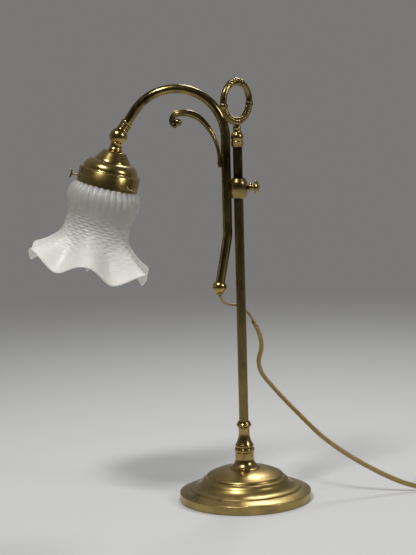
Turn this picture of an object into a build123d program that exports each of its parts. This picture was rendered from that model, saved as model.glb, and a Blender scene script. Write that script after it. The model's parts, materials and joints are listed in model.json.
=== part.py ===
from build123d import *
import math
import os

os.makedirs("parts", exist_ok=True)

# A brass swan-neck table lamp with a ruffled glass tulip shade. Millimetres, +Z up.
# The origin is the centre of the base's underside. The arm reaches along -X.

# Driving dimensions: base
base_d = 140.0
felt_t = 2.2
felt_gap = 0.5
lip_z = 0.6
shell_wall = 1.2
rim_h = 9.4
step_r = 58.0
step_z = 12.6
step_rise = 1.2
crease_r = 41.5
crease_z = 24.3
hub_r = 16.5
hub_z = 34.0
ballast_gap = 4.8
ballast_edge_h = 5.0

# Driving dimensions: tie rod and its nut
rod_fit = 0.1
rod_foot_z = 3.4
rod_grip = 26.0
nut_flats = 13.0
nut_h = 6.5
washer_r = 8.0
washer_t = 1.6
nut_room_r = 11.0
nut_room_h = 10.0

# Driving dimensions: pedestal
lower_neck_r = 9.95
lower_ring_r = 10.7
lower_ring_h = 4.8
lower_h = 21.9
upper_foot_r = 9.8
upper_waist_r = 5.85
upper_ring_r = 8.0
upper_h = 28.3
joint_groove = 0.7
socket_h = 18.3

# Driving dimensions: stem and finial
stem_r = 5.0
tube_wall = 1.0
stem_top_z = 382.6
knob_seat = 5.8
knob_r = 6.6
knob_h = 21.2
ring_r = 20.6
ring_tube_r = 3.3
ring_turn = 48.5
ring_boss_r = 4.8
ring_peg_r = 1.5
ring_peg_h = 6.0

# Driving dimensions: sliding collar
collar_z = 322.6
collar_h = 21.0
collar_r = 9.4
collar_bore_r = 6.55
bush_r = 6.5
bush_fit = 0.05
bush_inset = 1.6
bush_slit = 1.0
clamp_z = 11.1
clamp_r = 1.95
clamp_fit = 0.05
clamp_head_r = 8.1
clamp_bead_r = 4.8

# Driving dimensions: arm
arm_r = 5.0
arm_gap = 2.3
elbow_z = 286.4
elbow_r = 30.0
elbow_turn = 10.2
lower_run = 52.7
bend_z = 386.7
bend_r = 51.5
bend_turn = 146.0
tip_run = 12.0
tube_seat = 5.0
flex_r = 1.95
ball_r = 7.6
grommet_r = 3.4
grommet_bore_r = 2.75
grommet_flange_r = 4.3
grommet_flange_t = 1.3

# Driving dimensions: scroll
scroll_z = 354.8
scroll_thick = 5.2
scroll_ridge = 0.7
foot_w = 3.4
foot_run = 8.0
scroll_r1 = 60.0
scroll_turn1 = 44.0
scroll_r2 = 28.0
volute_r1 = 8.6
volute_r2 = 5.0
volute_ball_r = 3.4
rivet_r = 1.2
rivet_fit = 0.05
rivet_head_r = 2.0
rivet_head_t = 0.8
rivet_z = 360.6

# Driving dimensions: knuckle
knuckle_r = 9.4
knuckle_reach = 18.3
neck_r = 6.3
neck_groove = 0.4
half_gap = 0.3
ball_clear = 0.35
pivot_r = 2.0
pivot_fit = 0.05
pivot_head_r = 3.6
pivot_head_t = 2.0
pivot_seat_y = 5.5
pivot_end_y = 6.0
stub_r = 6.4

# Driving dimensions: shade holder
shade_tilt = 15.0
gallery_top_s = 15.8
gallery_wall = 1.0
gallery_ring_r = 32.4
gallery_h = 37.6
gallery_top_r = 11.4
gallery_cone_r = 19.0
gallery_dome_r = 29.0
nipple_r = 5.0
nipple_fit = 0.1
nipple_bore_r = 3.5
locknut_flats = 14.0
locknut_h = 3.0
holder_r = 13.8
holder_wall = 1.2
holder_h = 40.0
core_fit = 0.05
wire_room_r = 9.0
wire_room_h = 12.0
wire_r = 1.0
wire_gap = 3.2
bulb_cap_r = 6.9
bulb_cap_wall = 0.6
bulb_cap_h = 23.0
bulb_sink = 13.0
bulb_r = 17.5
bulb_len = 100.0
bulb_wall = 0.9
screw_angles = (-80.0, 40.0, 160.0)
screw_r = 1.0
screw_fit = 0.05
screw_reach = 9.6
screw_up = 5.2
screw_gap = 0.3
wing_r = 0.95
wing_span = 9.4
wing_sag = 2.6

# Driving dimensions: glass shade, depths measured down from the shade holder's lower edge
glass_wall = 2.4
neck_out_r = 29.2
lip_out_r = 30.3
lip_up = 12.6
ruffles = 6
sector_cuts = 6

# Driving dimensions: cord, coil and plug
cord_r = 1.95
cord_lie_z = 2.9
cord_y = 9.8
coil_x = 232.0
coil_in_r = 20.6
coil_pitch = 4.4
coil_rise = 5.6
coil_turns = 4
cord_straight = 4.0
plug_lead = 30.0
tie_w = 5.0
tie_t = 0.5
tie_room = 0.35
tie_slack = 1.0
plug_seat = 8.0
relief_len = 24.0
relief_r1 = 3.2
relief_r2 = 5.2
plug_len = 35.0
plug_w = 35.0
plug_t = 13.7
pin_r = 2.0
pin_len = 19.0
pin_gap = 18.6


def lean(angle):
    """Unit vector in the XZ plane, turned to the right of vertical by angle."""
    return Vector(math.sin(math.radians(angle)), 0, math.cos(math.radians(angle)))


def leaning(origin, angle):
    """Section plane facing the front, whose local y runs along lean(angle)."""
    turned = math.radians(angle)
    return Plane(origin=origin, x_dir=(math.cos(turned), 0, -math.sin(turned)), z_dir=(0, -1, 0))


def on_circle(centre, radius, angle):
    """Point of a circle in a sketch, at angle from its local x."""
    turned = math.radians(angle)
    return (centre[0] + radius * math.cos(turned), centre[1] + radius * math.sin(turned))


# Places worked out from the driving dimensions
rod_r = stem_r - tube_wall - rod_fit
base_r = base_d / 2
ballast_r = base_r - shell_wall - ballast_gap
lower_z = hub_z
upper_z = lower_z + lower_h
pedestal_top = upper_z + upper_h
stem_foot_z = pedestal_top - socket_h
knob_z = stem_top_z - knob_seat
knob_top_z = knob_z + knob_h
ring_z = knob_top_z + ring_boss_r + ring_r
run_x = -(stem_r + arm_gap + arm_r)
lower_start = (run_x - elbow_r * (1 - math.cos(math.radians(elbow_turn))),
               elbow_z - elbow_r * math.sin(math.radians(elbow_turn)))
ball_at = Vector(lower_start[0], 0, lower_start[1]) - lean(elbow_turn) * lower_run
bend_centre = (run_x - bend_r, bend_z)
tip_tilt = 180.0 - bend_turn
bend_end = on_circle(bend_centre, bend_r, bend_turn)
tip_at = Vector(bend_end[0], 0, bend_end[1]) - lean(tip_tilt) * tip_run
knuckle_at = tip_at - lean(tip_tilt) * knuckle_reach
clamp_height = collar_z + clamp_z
stem_axis = Axis((0, 0, 0), (0, 0, 1))
shade_axis = Axis(knuckle_at, lean(shade_tilt))
shade_section = leaning(knuckle_at, shade_tilt)
gallery_edge_s = gallery_top_s + gallery_h
holder_top_s = gallery_top_s + gallery_wall + locknut_h
holder_mouth_s = holder_top_s + holder_h
bulb_foot_s = holder_mouth_s - bulb_sink
bulb_tip_s = bulb_foot_s + bulb_len
screw_s = gallery_edge_s - screw_up


def around_shade(angle):
    """Unit vector square to the shade's axis, turned by angle from the front."""
    turned = math.radians(angle)
    return Vector(0, -1, 0) * math.cos(turned) + shade_section.x_dir * math.sin(turned)


# Felt pad under the base
with BuildPart() as felt_pad:
    with BuildSketch():
        Circle(base_r - shell_wall - felt_gap)
    extrude(amount=felt_t)

# Spun brass dish: rim, stepped ledge, rounded shoulder and low dome
with BuildPart() as base_shell:
    with BuildSketch(Plane.XZ):
        with BuildLine():
            Polyline((rod_r + rod_fit, hub_z), (hub_r, hub_z))
            ThreePointArc((hub_r, hub_z), (crease_r - 11.0, hub_z - 2.6), (crease_r - 2.5, crease_z + 3.4))
            ThreePointArc((crease_r - 2.5, crease_z + 3.4), (crease_r - 0.5, crease_z + 1.7),
                          (crease_r, crease_z))
            ThreePointArc((crease_r, crease_z), (crease_r + 3.0, crease_z - 1.6),
                          (crease_r + 5.2, crease_z - 4.4))
            ThreePointArc((crease_r + 5.2, crease_z - 4.4), (step_r - 6.0, step_z + step_rise + 1.6),
                          (step_r, step_z + step_rise))
            Line((step_r, step_z + step_rise), (step_r + 0.4, step_z))
            ThreePointArc((step_r + 0.4, step_z), (base_r - 6.0, rim_h + 1.9), (base_r - 1.0, rim_h))
            ThreePointArc((base_r - 1.0, rim_h), (base_r - 0.3, rim_h - 0.3), (base_r, rim_h - 1.0))
            Line((base_r, rim_h - 1.0), (base_r, lip_z))
            offset(amount=shell_wall, side=Side.RIGHT)
        make_face()
    revolve(axis=stem_axis)

# Cast weight, with room for the nut beneath its hub
with BuildPart() as ballast:
    with BuildSketch(Plane.XZ):
        with BuildLine():
            Polyline((nut_room_r, felt_t), (ballast_r, felt_t), (ballast_r, felt_t + ballast_edge_h),
                     (crease_r + 6.0, felt_t + ballast_edge_h + 3.0), (crease_r - 3.5, crease_z - 4.8),
                     (hub_r - 2.0, hub_z - shell_wall), (rod_r + rod_fit, hub_z - shell_wall),
                     (rod_r + rod_fit, felt_t + nut_room_h), (nut_room_r, felt_t + nut_room_h), close=True)
        make_face()
    revolve(axis=stem_axis)

# Washer and nut that draw the pedestal down on the weight
washer_z = felt_t + nut_room_h - washer_t
with BuildPart() as base_washer:
    with BuildSketch(Plane.XY.offset(washer_z)):
        Circle(washer_r)
        Circle(rod_r + rod_fit, mode=Mode.SUBTRACT)
    extrude(amount=washer_t)

with BuildPart() as base_nut:
    with BuildSketch(Plane.XY.offset(washer_z - nut_h)):
        RegularPolygon(nut_flats / 2, 6, major_radius=False)
        Circle(rod_r, mode=Mode.SUBTRACT)
    extrude(amount=nut_h)

# Threaded rod from the nut up into the stem
with BuildPart() as tie_rod:
    with BuildSketch(Plane.XY.offset(rod_foot_z)):
        Circle(rod_r)
    extrude(amount=stem_foot_z + rod_grip - rod_foot_z)
    chamfer(tie_rod.edges().filter_by(GeomType.CIRCLE), length=0.6)

# Lower pedestal: trumpet foot, short neck and ring
with BuildPart() as lower_pedestal:
    ring_foot = upper_z - lower_ring_h
    with BuildSketch(Plane.XZ):
        with BuildLine():
            Polyline((rod_r + rod_fit, lower_z), (hub_r, lower_z), (hub_r, lower_z + 0.8))
            ThreePointArc((hub_r, lower_z + 0.8), (lower_neck_r + 1.5, lower_z + 5.2),
                          (lower_neck_r + 0.1, lower_z + 12.5))
            Polyline((lower_neck_r + 0.1, lower_z + 12.5), (lower_neck_r, ring_foot - 0.3),
                     (lower_ring_r - 0.5, ring_foot))
            ThreePointArc((lower_ring_r - 0.5, ring_foot), (lower_ring_r, ring_foot + lower_ring_h / 2),
                          (lower_ring_r - 0.5, upper_z - 0.4))
            Polyline((lower_ring_r - 0.5, upper_z - 0.4), (lower_ring_r - 1.4, upper_z),
                     (rod_r + rod_fit, upper_z), (rod_r + rod_fit, lower_z))
        make_face()
    revolve(axis=stem_axis)

# Upper pedestal: bell foot, slim waist and beaded ring round the stem's socket
with BuildPart() as upper_pedestal:
    bead_foot = pedestal_top - 6.6
    with BuildSketch(Plane.XZ):
        with BuildLine():
            Polyline((rod_r + rod_fit, upper_z), (upper_foot_r - 0.9, upper_z),
                     (upper_foot_r - 0.9, upper_z + joint_groove),
                     (upper_foot_r - 0.2, upper_z + joint_groove))
            ThreePointArc((upper_foot_r - 0.2, upper_z + joint_groove), (upper_foot_r, upper_z + 2.3),
                          (upper_foot_r - 0.7, upper_z + 4.0))
            ThreePointArc((upper_foot_r - 0.7, upper_z + 4.0), (upper_waist_r + 0.95, upper_z + 9.6),
                          (upper_waist_r, upper_z + 16.4))
            Polyline((upper_waist_r, upper_z + 16.4), (upper_waist_r + 0.3, bead_foot),
                     (upper_ring_r - 0.9, bead_foot + 1.0))
            ThreePointArc((upper_ring_r - 0.9, bead_foot + 1.0), (upper_ring_r, bead_foot + 2.9),
                          (upper_ring_r - 1.0, bead_foot + 4.7))
            Polyline((upper_ring_r - 1.0, bead_foot + 4.7), (upper_waist_r + 0.4, pedestal_top),
                     (stem_r, pedestal_top), (stem_r, stem_foot_z), (rod_r + rod_fit, stem_foot_z),
                     (rod_r + rod_fit, upper_z))
        make_face()
    revolve(axis=stem_axis)

# Stem: one straight tube
with BuildPart() as stem_tube:
    with BuildSketch(Plane.XY.offset(stem_foot_z)):
        Circle(stem_r)
        Circle(stem_r - tube_wall, mode=Mode.SUBTRACT)
    extrude(amount=stem_top_z - stem_foot_z)

# Finial knob: collar, vase and small bead, pressed over the stem's end
with BuildPart() as finial_knob:
    with BuildSketch(Plane.XZ):
        with BuildLine():
            Polyline((stem_r, knob_z), (knob_r - 0.3, knob_z), (knob_r - 0.1, knob_z + 0.5),
                     (knob_r - 0.1, knob_z + 4.4))
            ThreePointArc((knob_r - 0.1, knob_z + 4.4), (knob_r + 0.1, knob_z + 5.1),
                          (knob_r - 0.5, knob_z + 5.8))
            Line((knob_r - 0.5, knob_z + 5.8), (knob_r - 0.8, knob_z + 6.6))
            ThreePointArc((knob_r - 0.8, knob_z + 6.6), (knob_r + 0.1, knob_z + 10.0),
                          (knob_r - 1.6, knob_z + 14.2))
            ThreePointArc((knob_r - 1.6, knob_z + 14.2), (knob_r - 2.6, knob_z + 16.4),
                          (knob_r - 2.5, knob_z + 18.2))
            ThreePointArc((knob_r - 2.5, knob_z + 18.2), (knob_r - 2.1, knob_z + 19.6),
                          (knob_r - 2.6, knob_top_z))
            Polyline((knob_r - 2.6, knob_top_z), (ring_peg_r, knob_top_z),
                     (ring_peg_r, knob_top_z - ring_peg_h), (0, knob_top_z - ring_peg_h),
                     (0, stem_top_z), (stem_r, stem_top_z), (stem_r, knob_z))
        make_face()
    revolve(axis=stem_axis)

# Finial ring: a cast wreath of reed, beaded at the top and sides and bound below
turn = math.radians(ring_turn)
ring_plane = Plane(origin=(0, 0, ring_z), x_dir=(-math.cos(turn), -math.sin(turn), 0),
                   z_dir=(-math.sin(turn), math.cos(turn), 0))
bead_angles = {-9.5: 4.0, 66.0: 3.9, 79.0: 3.6, 90.0: 4.2, 101.0: 3.6, 114.0: 3.9, 189.5: 4.0}
bind_start, bind_step, bind_turns = 16.0, 7.6, 7
binding_r = ring_tube_r + 0.45
with BuildPart() as finial_ring:
    with Locations(ring_plane):
        Torus(ring_r, ring_tube_r, rotation=(0, 0, 40))
    for angle, radius in bead_angles.items():
        spot = ring_plane.from_local_coords((*on_circle((0, 0), ring_r, angle), 0))
        tangent = (ring_plane.x_dir * -math.sin(math.radians(angle))
                   + ring_plane.y_dir * math.cos(math.radians(angle)))
        with BuildSketch(Plane(origin=spot, x_dir=tangent, z_dir=ring_plane.z_dir)):
            with BuildLine():
                ThreePointArc((-radius, 0), (0, radius), (radius, 0))
                Line((radius, 0), (-radius, 0))
            make_face()
        revolve(axis=Axis(spot, tangent))
    for side in (-1, 1):
        for count in range(bind_turns):
            angle = -90.0 + side * (bind_start + 6.0 + bind_step * count)
            spot = ring_plane.from_local_coords((*on_circle((0, 0), ring_r, angle), 0))
            tangent = (ring_plane.x_dir * -math.sin(math.radians(angle))
                       + ring_plane.y_dir * math.cos(math.radians(angle)))
            with BuildSketch(Plane(origin=spot - tangent * 1.0, z_dir=tangent)):
                Circle(binding_r)
            extrude(amount=2.0)
    for count in (-2, -1, 0, 1, 2):
        angle = -90.0 + 8.2 * count
        spot = ring_plane.from_local_coords((*on_circle((0, 0), ring_r, angle), 0))
        tangent = (ring_plane.x_dir * -math.sin(math.radians(angle))
                   + ring_plane.y_dir * math.cos(math.radians(angle)))
        with BuildSketch(Plane(origin=spot - tangent * 1.1, z_dir=tangent)):
            Circle(ring_boss_r - 0.12 * count * count)
        extrude(amount=2.2)
    with BuildSketch(Plane.XY.offset(knob_top_z - ring_peg_h)):
        Circle(ring_peg_r)
    extrude(amount=ring_peg_h + ring_boss_r)

# Split bush that the collar slides and turns on
with BuildPart() as slide_bush:
    with BuildSketch(Plane.XY.offset(collar_z + bush_inset)):
        Circle(bush_r)
        Circle(stem_r + bush_fit, mode=Mode.SUBTRACT)
        with Locations((0, bush_r)):
            Rectangle(bush_slit, 2 * (bush_r - stem_r) + 1.0, mode=Mode.SUBTRACT)
    extrude(amount=collar_h - 2 * bush_inset)

# Clamping collar with a chamfered top, a groove and a foot flange, cut to saddle the arm
with BuildPart() as clamp_collar:
    with BuildSketch(Plane.XZ):
        with BuildLine():
            Polyline((collar_bore_r, collar_z), (collar_r - 2.6, collar_z), (collar_r - 0.9, collar_z + 1.5),
                     (collar_r - 0.9, collar_z + 3.6), (collar_r - 0.4, collar_z + 4.2),
                     (collar_r - 0.4, collar_z + 4.9), (collar_r, collar_z + 5.3),
                     (collar_r, collar_z + collar_h - 4.2), (collar_r - 2.1, collar_z + collar_h),
                     (collar_bore_r, collar_z + collar_h), close=True)
        make_face()
    revolve(axis=stem_axis)
    with BuildSketch(Plane.XY.offset(collar_z)):
        with Locations((run_x, 0)):
            Circle(arm_r)
    extrude(amount=collar_h, mode=Mode.SUBTRACT)
    with BuildSketch(Plane.YZ):
        with Locations((0, clamp_height)):
            Circle(clamp_r + clamp_fit)
    extrude(amount=collar_r + 1.0, mode=Mode.SUBTRACT)

# Thumbscrew: threaded shank, bead, neck and mushroom disc
with BuildPart() as clamp_screw:
    with BuildSketch(Plane.XZ):
        with BuildLine():
            Polyline((bush_r + clamp_fit, clamp_height), (bush_r + clamp_fit, clamp_height + clamp_r),
                     (collar_r + 1.6, clamp_height + clamp_r))
            ThreePointArc((collar_r + 1.6, clamp_height + clamp_r),
                          (collar_r + 3.2, clamp_height + clamp_bead_r),
                          (collar_r + 4.8, clamp_height + clamp_r + 0.3))
            Polyline((collar_r + 4.8, clamp_height + clamp_r + 0.3),
                     (collar_r + 6.6, clamp_height + clamp_r + 0.4),
                     (collar_r + 7.4, clamp_height + clamp_head_r - 1.4),
                     (collar_r + 8.2, clamp_height + clamp_head_r))
            ThreePointArc((collar_r + 8.2, clamp_height + clamp_head_r),
                          (collar_r + 10.2, clamp_height + clamp_head_r - 1.2),
                          (collar_r + 11.6, clamp_height + clamp_head_r - 4.4))
            ThreePointArc((collar_r + 11.6, clamp_height + clamp_head_r - 4.4),
                          (collar_r + 12.5, clamp_height + 2.4), (collar_r + 12.9, clamp_height + 1.0))
            Polyline((collar_r + 12.9, clamp_height + 1.0), (collar_r + 12.9, clamp_height),
                     (bush_r + clamp_fit, clamp_height))
        make_face()
    revolve(axis=Axis((0, 0, clamp_height), (1, 0, 0)))

# Swan-neck tube: lower run, elbow, run beside the stem, high bend and tip
tube_start = ball_at + lean(elbow_turn) * (ball_r - tube_seat + 1.5)
tube_end = tip_at - lean(tip_tilt) * tube_seat
with BuildPart() as arm_tube:
    with BuildLine(Plane.XZ) as tube_path:
        Line((tube_start.X, tube_start.Z), lower_start)
        CenterArc((run_x - elbow_r, elbow_z), elbow_r, -elbow_turn, elbow_turn)
        Line((run_x, elbow_z), (run_x, bend_z))
        CenterArc(bend_centre, bend_r, 0, bend_turn)
        Line(bend_end, (tube_end.X, tube_end.Z))
    with BuildSketch(Plane(origin=tube_start, z_dir=lean(elbow_turn))):
        Circle(arm_r)
        Circle(arm_r - tube_wall, mode=Mode.SUBTRACT)
    sweep(path=tube_path.wires()[0])
    with BuildSketch(Plane.YZ.offset(run_x)):
        with Locations((0, rivet_z)):
            Circle(rivet_r + rivet_fit)
    extrude(amount=-arm_r - 1.0, mode=Mode.SUBTRACT)

# Flex inside the arm, from the ball's mouth to the knuckle's neck
ball_flat = math.sqrt(ball_r ** 2 - grommet_flange_r ** 2)
mouth_z = ball_at.Z - ball_flat - grommet_flange_t
flex_bend_r = 12.0
flex_tangent = flex_bend_r * math.tan(math.radians(elbow_turn / 2))
with BuildPart() as arm_flex:
    with BuildLine(Plane.XZ) as flex_path:
        Line((ball_at.X, mouth_z), (ball_at.X, ball_at.Z - flex_tangent))
        CenterArc((ball_at.X + flex_bend_r, ball_at.Z - flex_tangent), flex_bend_r, 180, -elbow_turn)
        Line(on_circle((ball_at.X + flex_bend_r, ball_at.Z - flex_tangent), flex_bend_r, 180 - elbow_turn),
             lower_start)
        CenterArc((run_x - elbow_r, elbow_z), elbow_r, -elbow_turn, elbow_turn)
        Line((run_x, elbow_z), (run_x, bend_z))
        CenterArc(bend_centre, bend_r, 0, bend_turn)
        Line(bend_end, (tube_end.X, tube_end.Z))
    with BuildSketch(Plane.XY.offset(mouth_z)):
        with Locations((ball_at.X, 0)):
            Circle(flex_r)
    sweep(path=flex_path.wires()[0])

# Hollow ball that ends the arm, and the grommet in its mouth
with BuildPart() as end_ball:
    with Locations(ball_at):
        Sphere(ball_r)
        Sphere(flex_r + 1.2, mode=Mode.SUBTRACT)
    with BuildSketch(Plane(origin=tube_start, z_dir=lean(elbow_turn))):
        Circle(arm_r)
    extrude(amount=ball_r, mode=Mode.SUBTRACT)
    with BuildSketch(Plane(origin=ball_at, z_dir=lean(elbow_turn))):
        Circle(flex_r + 1.2)
    extrude(amount=ball_r, mode=Mode.SUBTRACT)
    with BuildSketch(Plane.XY.offset(ball_at.Z)):
        with Locations((ball_at.X, 0)):
            Circle(grommet_r)
    extrude(amount=-ball_r - 1.0, mode=Mode.SUBTRACT)
    with BuildSketch(Plane.XY.offset(ball_at.Z - ball_flat)):
        with Locations((ball_at.X, 0)):
            Circle(ball_r)
    extrude(amount=-ball_r, mode=Mode.SUBTRACT)

with BuildPart() as cord_grommet:
    with BuildSketch(Plane.XY.offset(mouth_z)):
        with Locations((ball_at.X, 0)):
            Circle(grommet_flange_r)
            Circle(grommet_bore_r, mode=Mode.SUBTRACT)
    extrude(amount=grommet_flange_t)
    fillet(cord_grommet.faces().sort_by(Axis.Z)[0].edges(), radius=0.4)
    with BuildSketch(Plane.XY.offset(mouth_z + grommet_flange_t)):
        with Locations((ball_at.X, 0)):
            Circle(grommet_r)
            Circle(grommet_bore_r, mode=Mode.SUBTRACT)
    extrude(amount=ball_r - flex_r - 1.6)

# Cast scroll: its foot stands against the arm and its head curls into a ball
foot_x = run_x - arm_r - foot_w / 2 - 0.1
scroll_start_z = scroll_z + foot_run
arc1_centre = (foot_x - scroll_r1, scroll_start_z)
arc1_end = on_circle(arc1_centre, scroll_r1, scroll_turn1)
arc2_centre = on_circle(arc1_end, scroll_r2, 180 + scroll_turn1)
apex = on_circle(arc2_centre, scroll_r2, 90)
volute_in = (apex[0] - 3.0, apex[1])
volute_centre1 = (volute_in[0], volute_in[1] - volute_r1)
volute_side = on_circle(volute_centre1, volute_r1, 180)
volute_centre2 = (volute_side[0] + volute_r2, volute_side[1])
volute_end = on_circle(volute_centre2, volute_r2, 270)
ball_spot = (volute_end[0] + 1.6, volute_end[1] + volute_ball_r + 0.6)


def band(half_foot, half_turn, half_apex, half_side, half_end):
    """Outline of the scroll's band, with these half widths at its foot, turn, apex, side and end."""
    out1 = on_circle(arc1_centre, scroll_r1 + half_turn, scroll_turn1)
    in1 = on_circle(arc1_centre, scroll_r1 - half_turn, scroll_turn1)
    mid_angle = (90 + scroll_turn1) / 2
    half_mid = (half_turn + half_apex) / 2
    Polyline((foot_x - half_foot, scroll_start_z), (foot_x - half_foot, scroll_z),
             (foot_x + half_foot, scroll_z), (foot_x + half_foot, scroll_start_z))
    ThreePointArc((foot_x + half_foot, scroll_start_z),
                  on_circle(arc1_centre, scroll_r1 + (half_foot + half_turn) / 2, scroll_turn1 / 2), out1)
    ThreePointArc(out1, on_circle(arc2_centre, scroll_r2 + half_mid, mid_angle),
                  (apex[0], apex[1] + half_apex))
    Line((apex[0], apex[1] + half_apex), (volute_in[0], volute_in[1] + half_apex))
    ThreePointArc((volute_in[0], volute_in[1] + half_apex),
                  on_circle(volute_centre1, volute_r1 + (half_apex + half_side) / 2, 135),
                  (volute_side[0] - half_side, volute_side[1]))
    ThreePointArc((volute_side[0] - half_side, volute_side[1]),
                  on_circle(volute_centre2, volute_r2 + (half_side + half_end) / 2, 225),
                  (volute_end[0], volute_end[1] - half_end))
    Line((volute_end[0], volute_end[1] - half_end), (volute_end[0], volute_end[1] + half_end))
    ThreePointArc((volute_end[0], volute_end[1] + half_end),
                  on_circle(volute_centre2, volute_r2 - (half_side + half_end) / 2, 225),
                  (volute_side[0] + half_side, volute_side[1]))
    ThreePointArc((volute_side[0] + half_side, volute_side[1]),
                  on_circle(volute_centre1, volute_r1 - (half_apex + half_side) / 2, 135),
                  (volute_in[0], volute_in[1] - half_apex))
    Line((volute_in[0], volute_in[1] - half_apex), (apex[0], apex[1] - half_apex))
    ThreePointArc((apex[0], apex[1] - half_apex),
                  on_circle(arc2_centre, scroll_r2 - half_mid, mid_angle), in1)
    ThreePointArc(in1, on_circle(arc1_centre, scroll_r1 - (half_foot + half_turn) / 2, scroll_turn1 / 2),
                  (foot_x - half_foot, scroll_start_z))


with BuildPart() as arm_scroll:
    with BuildSketch(Plane.XZ):
        with BuildLine():
            band(foot_w / 2, 3.2, 4.1, 3.0, 2.2)
        make_face()
    extrude(amount=scroll_thick / 2, both=True)
    with BuildSketch(Plane.XZ):
        with BuildLine():
            band(foot_w / 6, 1.2, 1.5, 1.1, 0.8)
        make_face()
    extrude(amount=scroll_thick / 2 + scroll_ridge, both=True)
    with Locations((ball_spot[0], 0, ball_spot[1])):
        Sphere(volute_ball_r)
    with BuildSketch(Plane.YZ.offset(foot_x - foot_w)):
        with Locations((0, rivet_z)):
            Circle(rivet_r + rivet_fit)
    extrude(amount=2 * foot_w, mode=Mode.SUBTRACT)

# Rivet that holds the scroll's foot to the arm
rivet_face_x = foot_x - foot_w / 2
with BuildPart() as scroll_rivet:
    with BuildSketch(Plane.YZ.offset(rivet_face_x - rivet_fit)):
        with Locations((0, rivet_z)):
            Circle(rivet_head_r)
    extrude(amount=-rivet_head_t)
    with BuildSketch(Plane.YZ.offset(rivet_face_x - rivet_fit)):
        with Locations((0, rivet_z)):
            Circle(rivet_r)
    extrude(amount=run_x - arm_r + tube_wall + 0.4 - rivet_face_x + rivet_fit)

# Halves of the knuckle's ball, and the room each needs on the other half
with BuildPart() as back_ball:
    with Locations(knuckle_at):
        Sphere(knuckle_r)
    split(bisect_by=Plane.XZ.offset(-half_gap / 2), keep=Keep.BOTTOM)

with BuildPart() as front_ball:
    with Locations(knuckle_at):
        Sphere(knuckle_r)
    split(bisect_by=Plane.XZ.offset(half_gap / 2), keep=Keep.TOP)

with BuildPart() as front_room:
    with Locations(knuckle_at):
        Sphere(knuckle_r + ball_clear)
    split(bisect_by=Plane.XZ.offset(-half_gap / 2), keep=Keep.TOP)

with BuildPart() as back_room:
    with Locations(knuckle_at):
        Sphere(knuckle_r + ball_clear)
    split(bisect_by=Plane.XZ.offset(half_gap / 2), keep=Keep.BOTTOM)

# Knuckle's upper half: ringed neck on the arm's tip, and the rear half of the ball
groove_spots = (10.6, 12.1, 13.6, 15.1)
with BuildPart() as knuckle_neck:
    with BuildSketch(leaning(knuckle_at, tip_tilt)):
        with BuildLine():
            Polyline((0, 0), (neck_r, 0), (neck_r, knuckle_reach - 1.8),
                     (neck_r + 0.3, knuckle_reach - 1.5), (neck_r + 0.3, knuckle_reach - 0.3),
                     (neck_r, knuckle_reach), (arm_r, knuckle_reach), (arm_r, knuckle_reach - tube_seat),
                     (0, knuckle_reach - tube_seat), close=True)
        make_face()
        with Locations([(neck_r, spot) for spot in groove_spots]):
            Rectangle(2 * neck_groove, 0.7, mode=Mode.SUBTRACT)
    revolve(axis=Axis(knuckle_at, lean(tip_tilt)))
    add(front_room.part, mode=Mode.SUBTRACT)
    add(back_ball.part)
    with BuildSketch(Plane.XZ):
        with Locations((knuckle_at.X, knuckle_at.Z)):
            Circle(pivot_r)
    extrude(amount=-2 * knuckle_r, mode=Mode.SUBTRACT)
    with BuildSketch(Plane.XZ.offset(-pivot_seat_y)):
        with Locations((knuckle_at.X, knuckle_at.Z)):
            Circle(pivot_head_r + 0.2)
    extrude(amount=-knuckle_r, mode=Mode.SUBTRACT)

# Pivot screw, fast in the rear half
with BuildPart() as knuckle_screw:
    with BuildSketch(Plane.XZ.offset(-pivot_seat_y)):
        with Locations((knuckle_at.X, knuckle_at.Z)):
            Circle(pivot_head_r)
    extrude(amount=-pivot_head_t)
    with BuildSketch(Plane.XZ.offset(-pivot_seat_y)):
        with Locations((knuckle_at.X, knuckle_at.Z)):
            Circle(pivot_r)
    extrude(amount=pivot_seat_y + pivot_end_y)
    with BuildSketch(Plane.XZ.offset(-pivot_seat_y - pivot_head_t)):
        with Locations((knuckle_at.X, knuckle_at.Z)):
            Rectangle(2 * pivot_head_r, 0.8)
    extrude(amount=0.8, mode=Mode.SUBTRACT)

# Knuckle's lower half: front half of the ball, stub and the hollow nipple
nipple_foot_s = holder_top_s + 6.0
with BuildPart() as knuckle_stub:
    with BuildSketch(shade_section):
        with BuildLine():
            Polyline((0, 0), (stub_r, 0), (stub_r, -gallery_top_s + 3.4),
                     (stub_r + 0.9, -gallery_top_s + 2.8),
                     (stub_r + 0.9, -gallery_top_s), (nipple_r, -gallery_top_s), (nipple_r, -nipple_foot_s),
                     (nipple_bore_r, -nipple_foot_s), (nipple_bore_r, -knuckle_r - 1.6),
                     (0, -knuckle_r - 1.6), close=True)
        make_face()
    revolve(axis=shade_axis)
    add(back_room.part, mode=Mode.SUBTRACT)
    add(front_ball.part)
    with BuildSketch(Plane.XZ):
        with Locations((knuckle_at.X, knuckle_at.Z)):
            Circle(pivot_r + pivot_fit)
    extrude(amount=pivot_end_y + 0.6, mode=Mode.SUBTRACT)

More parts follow.
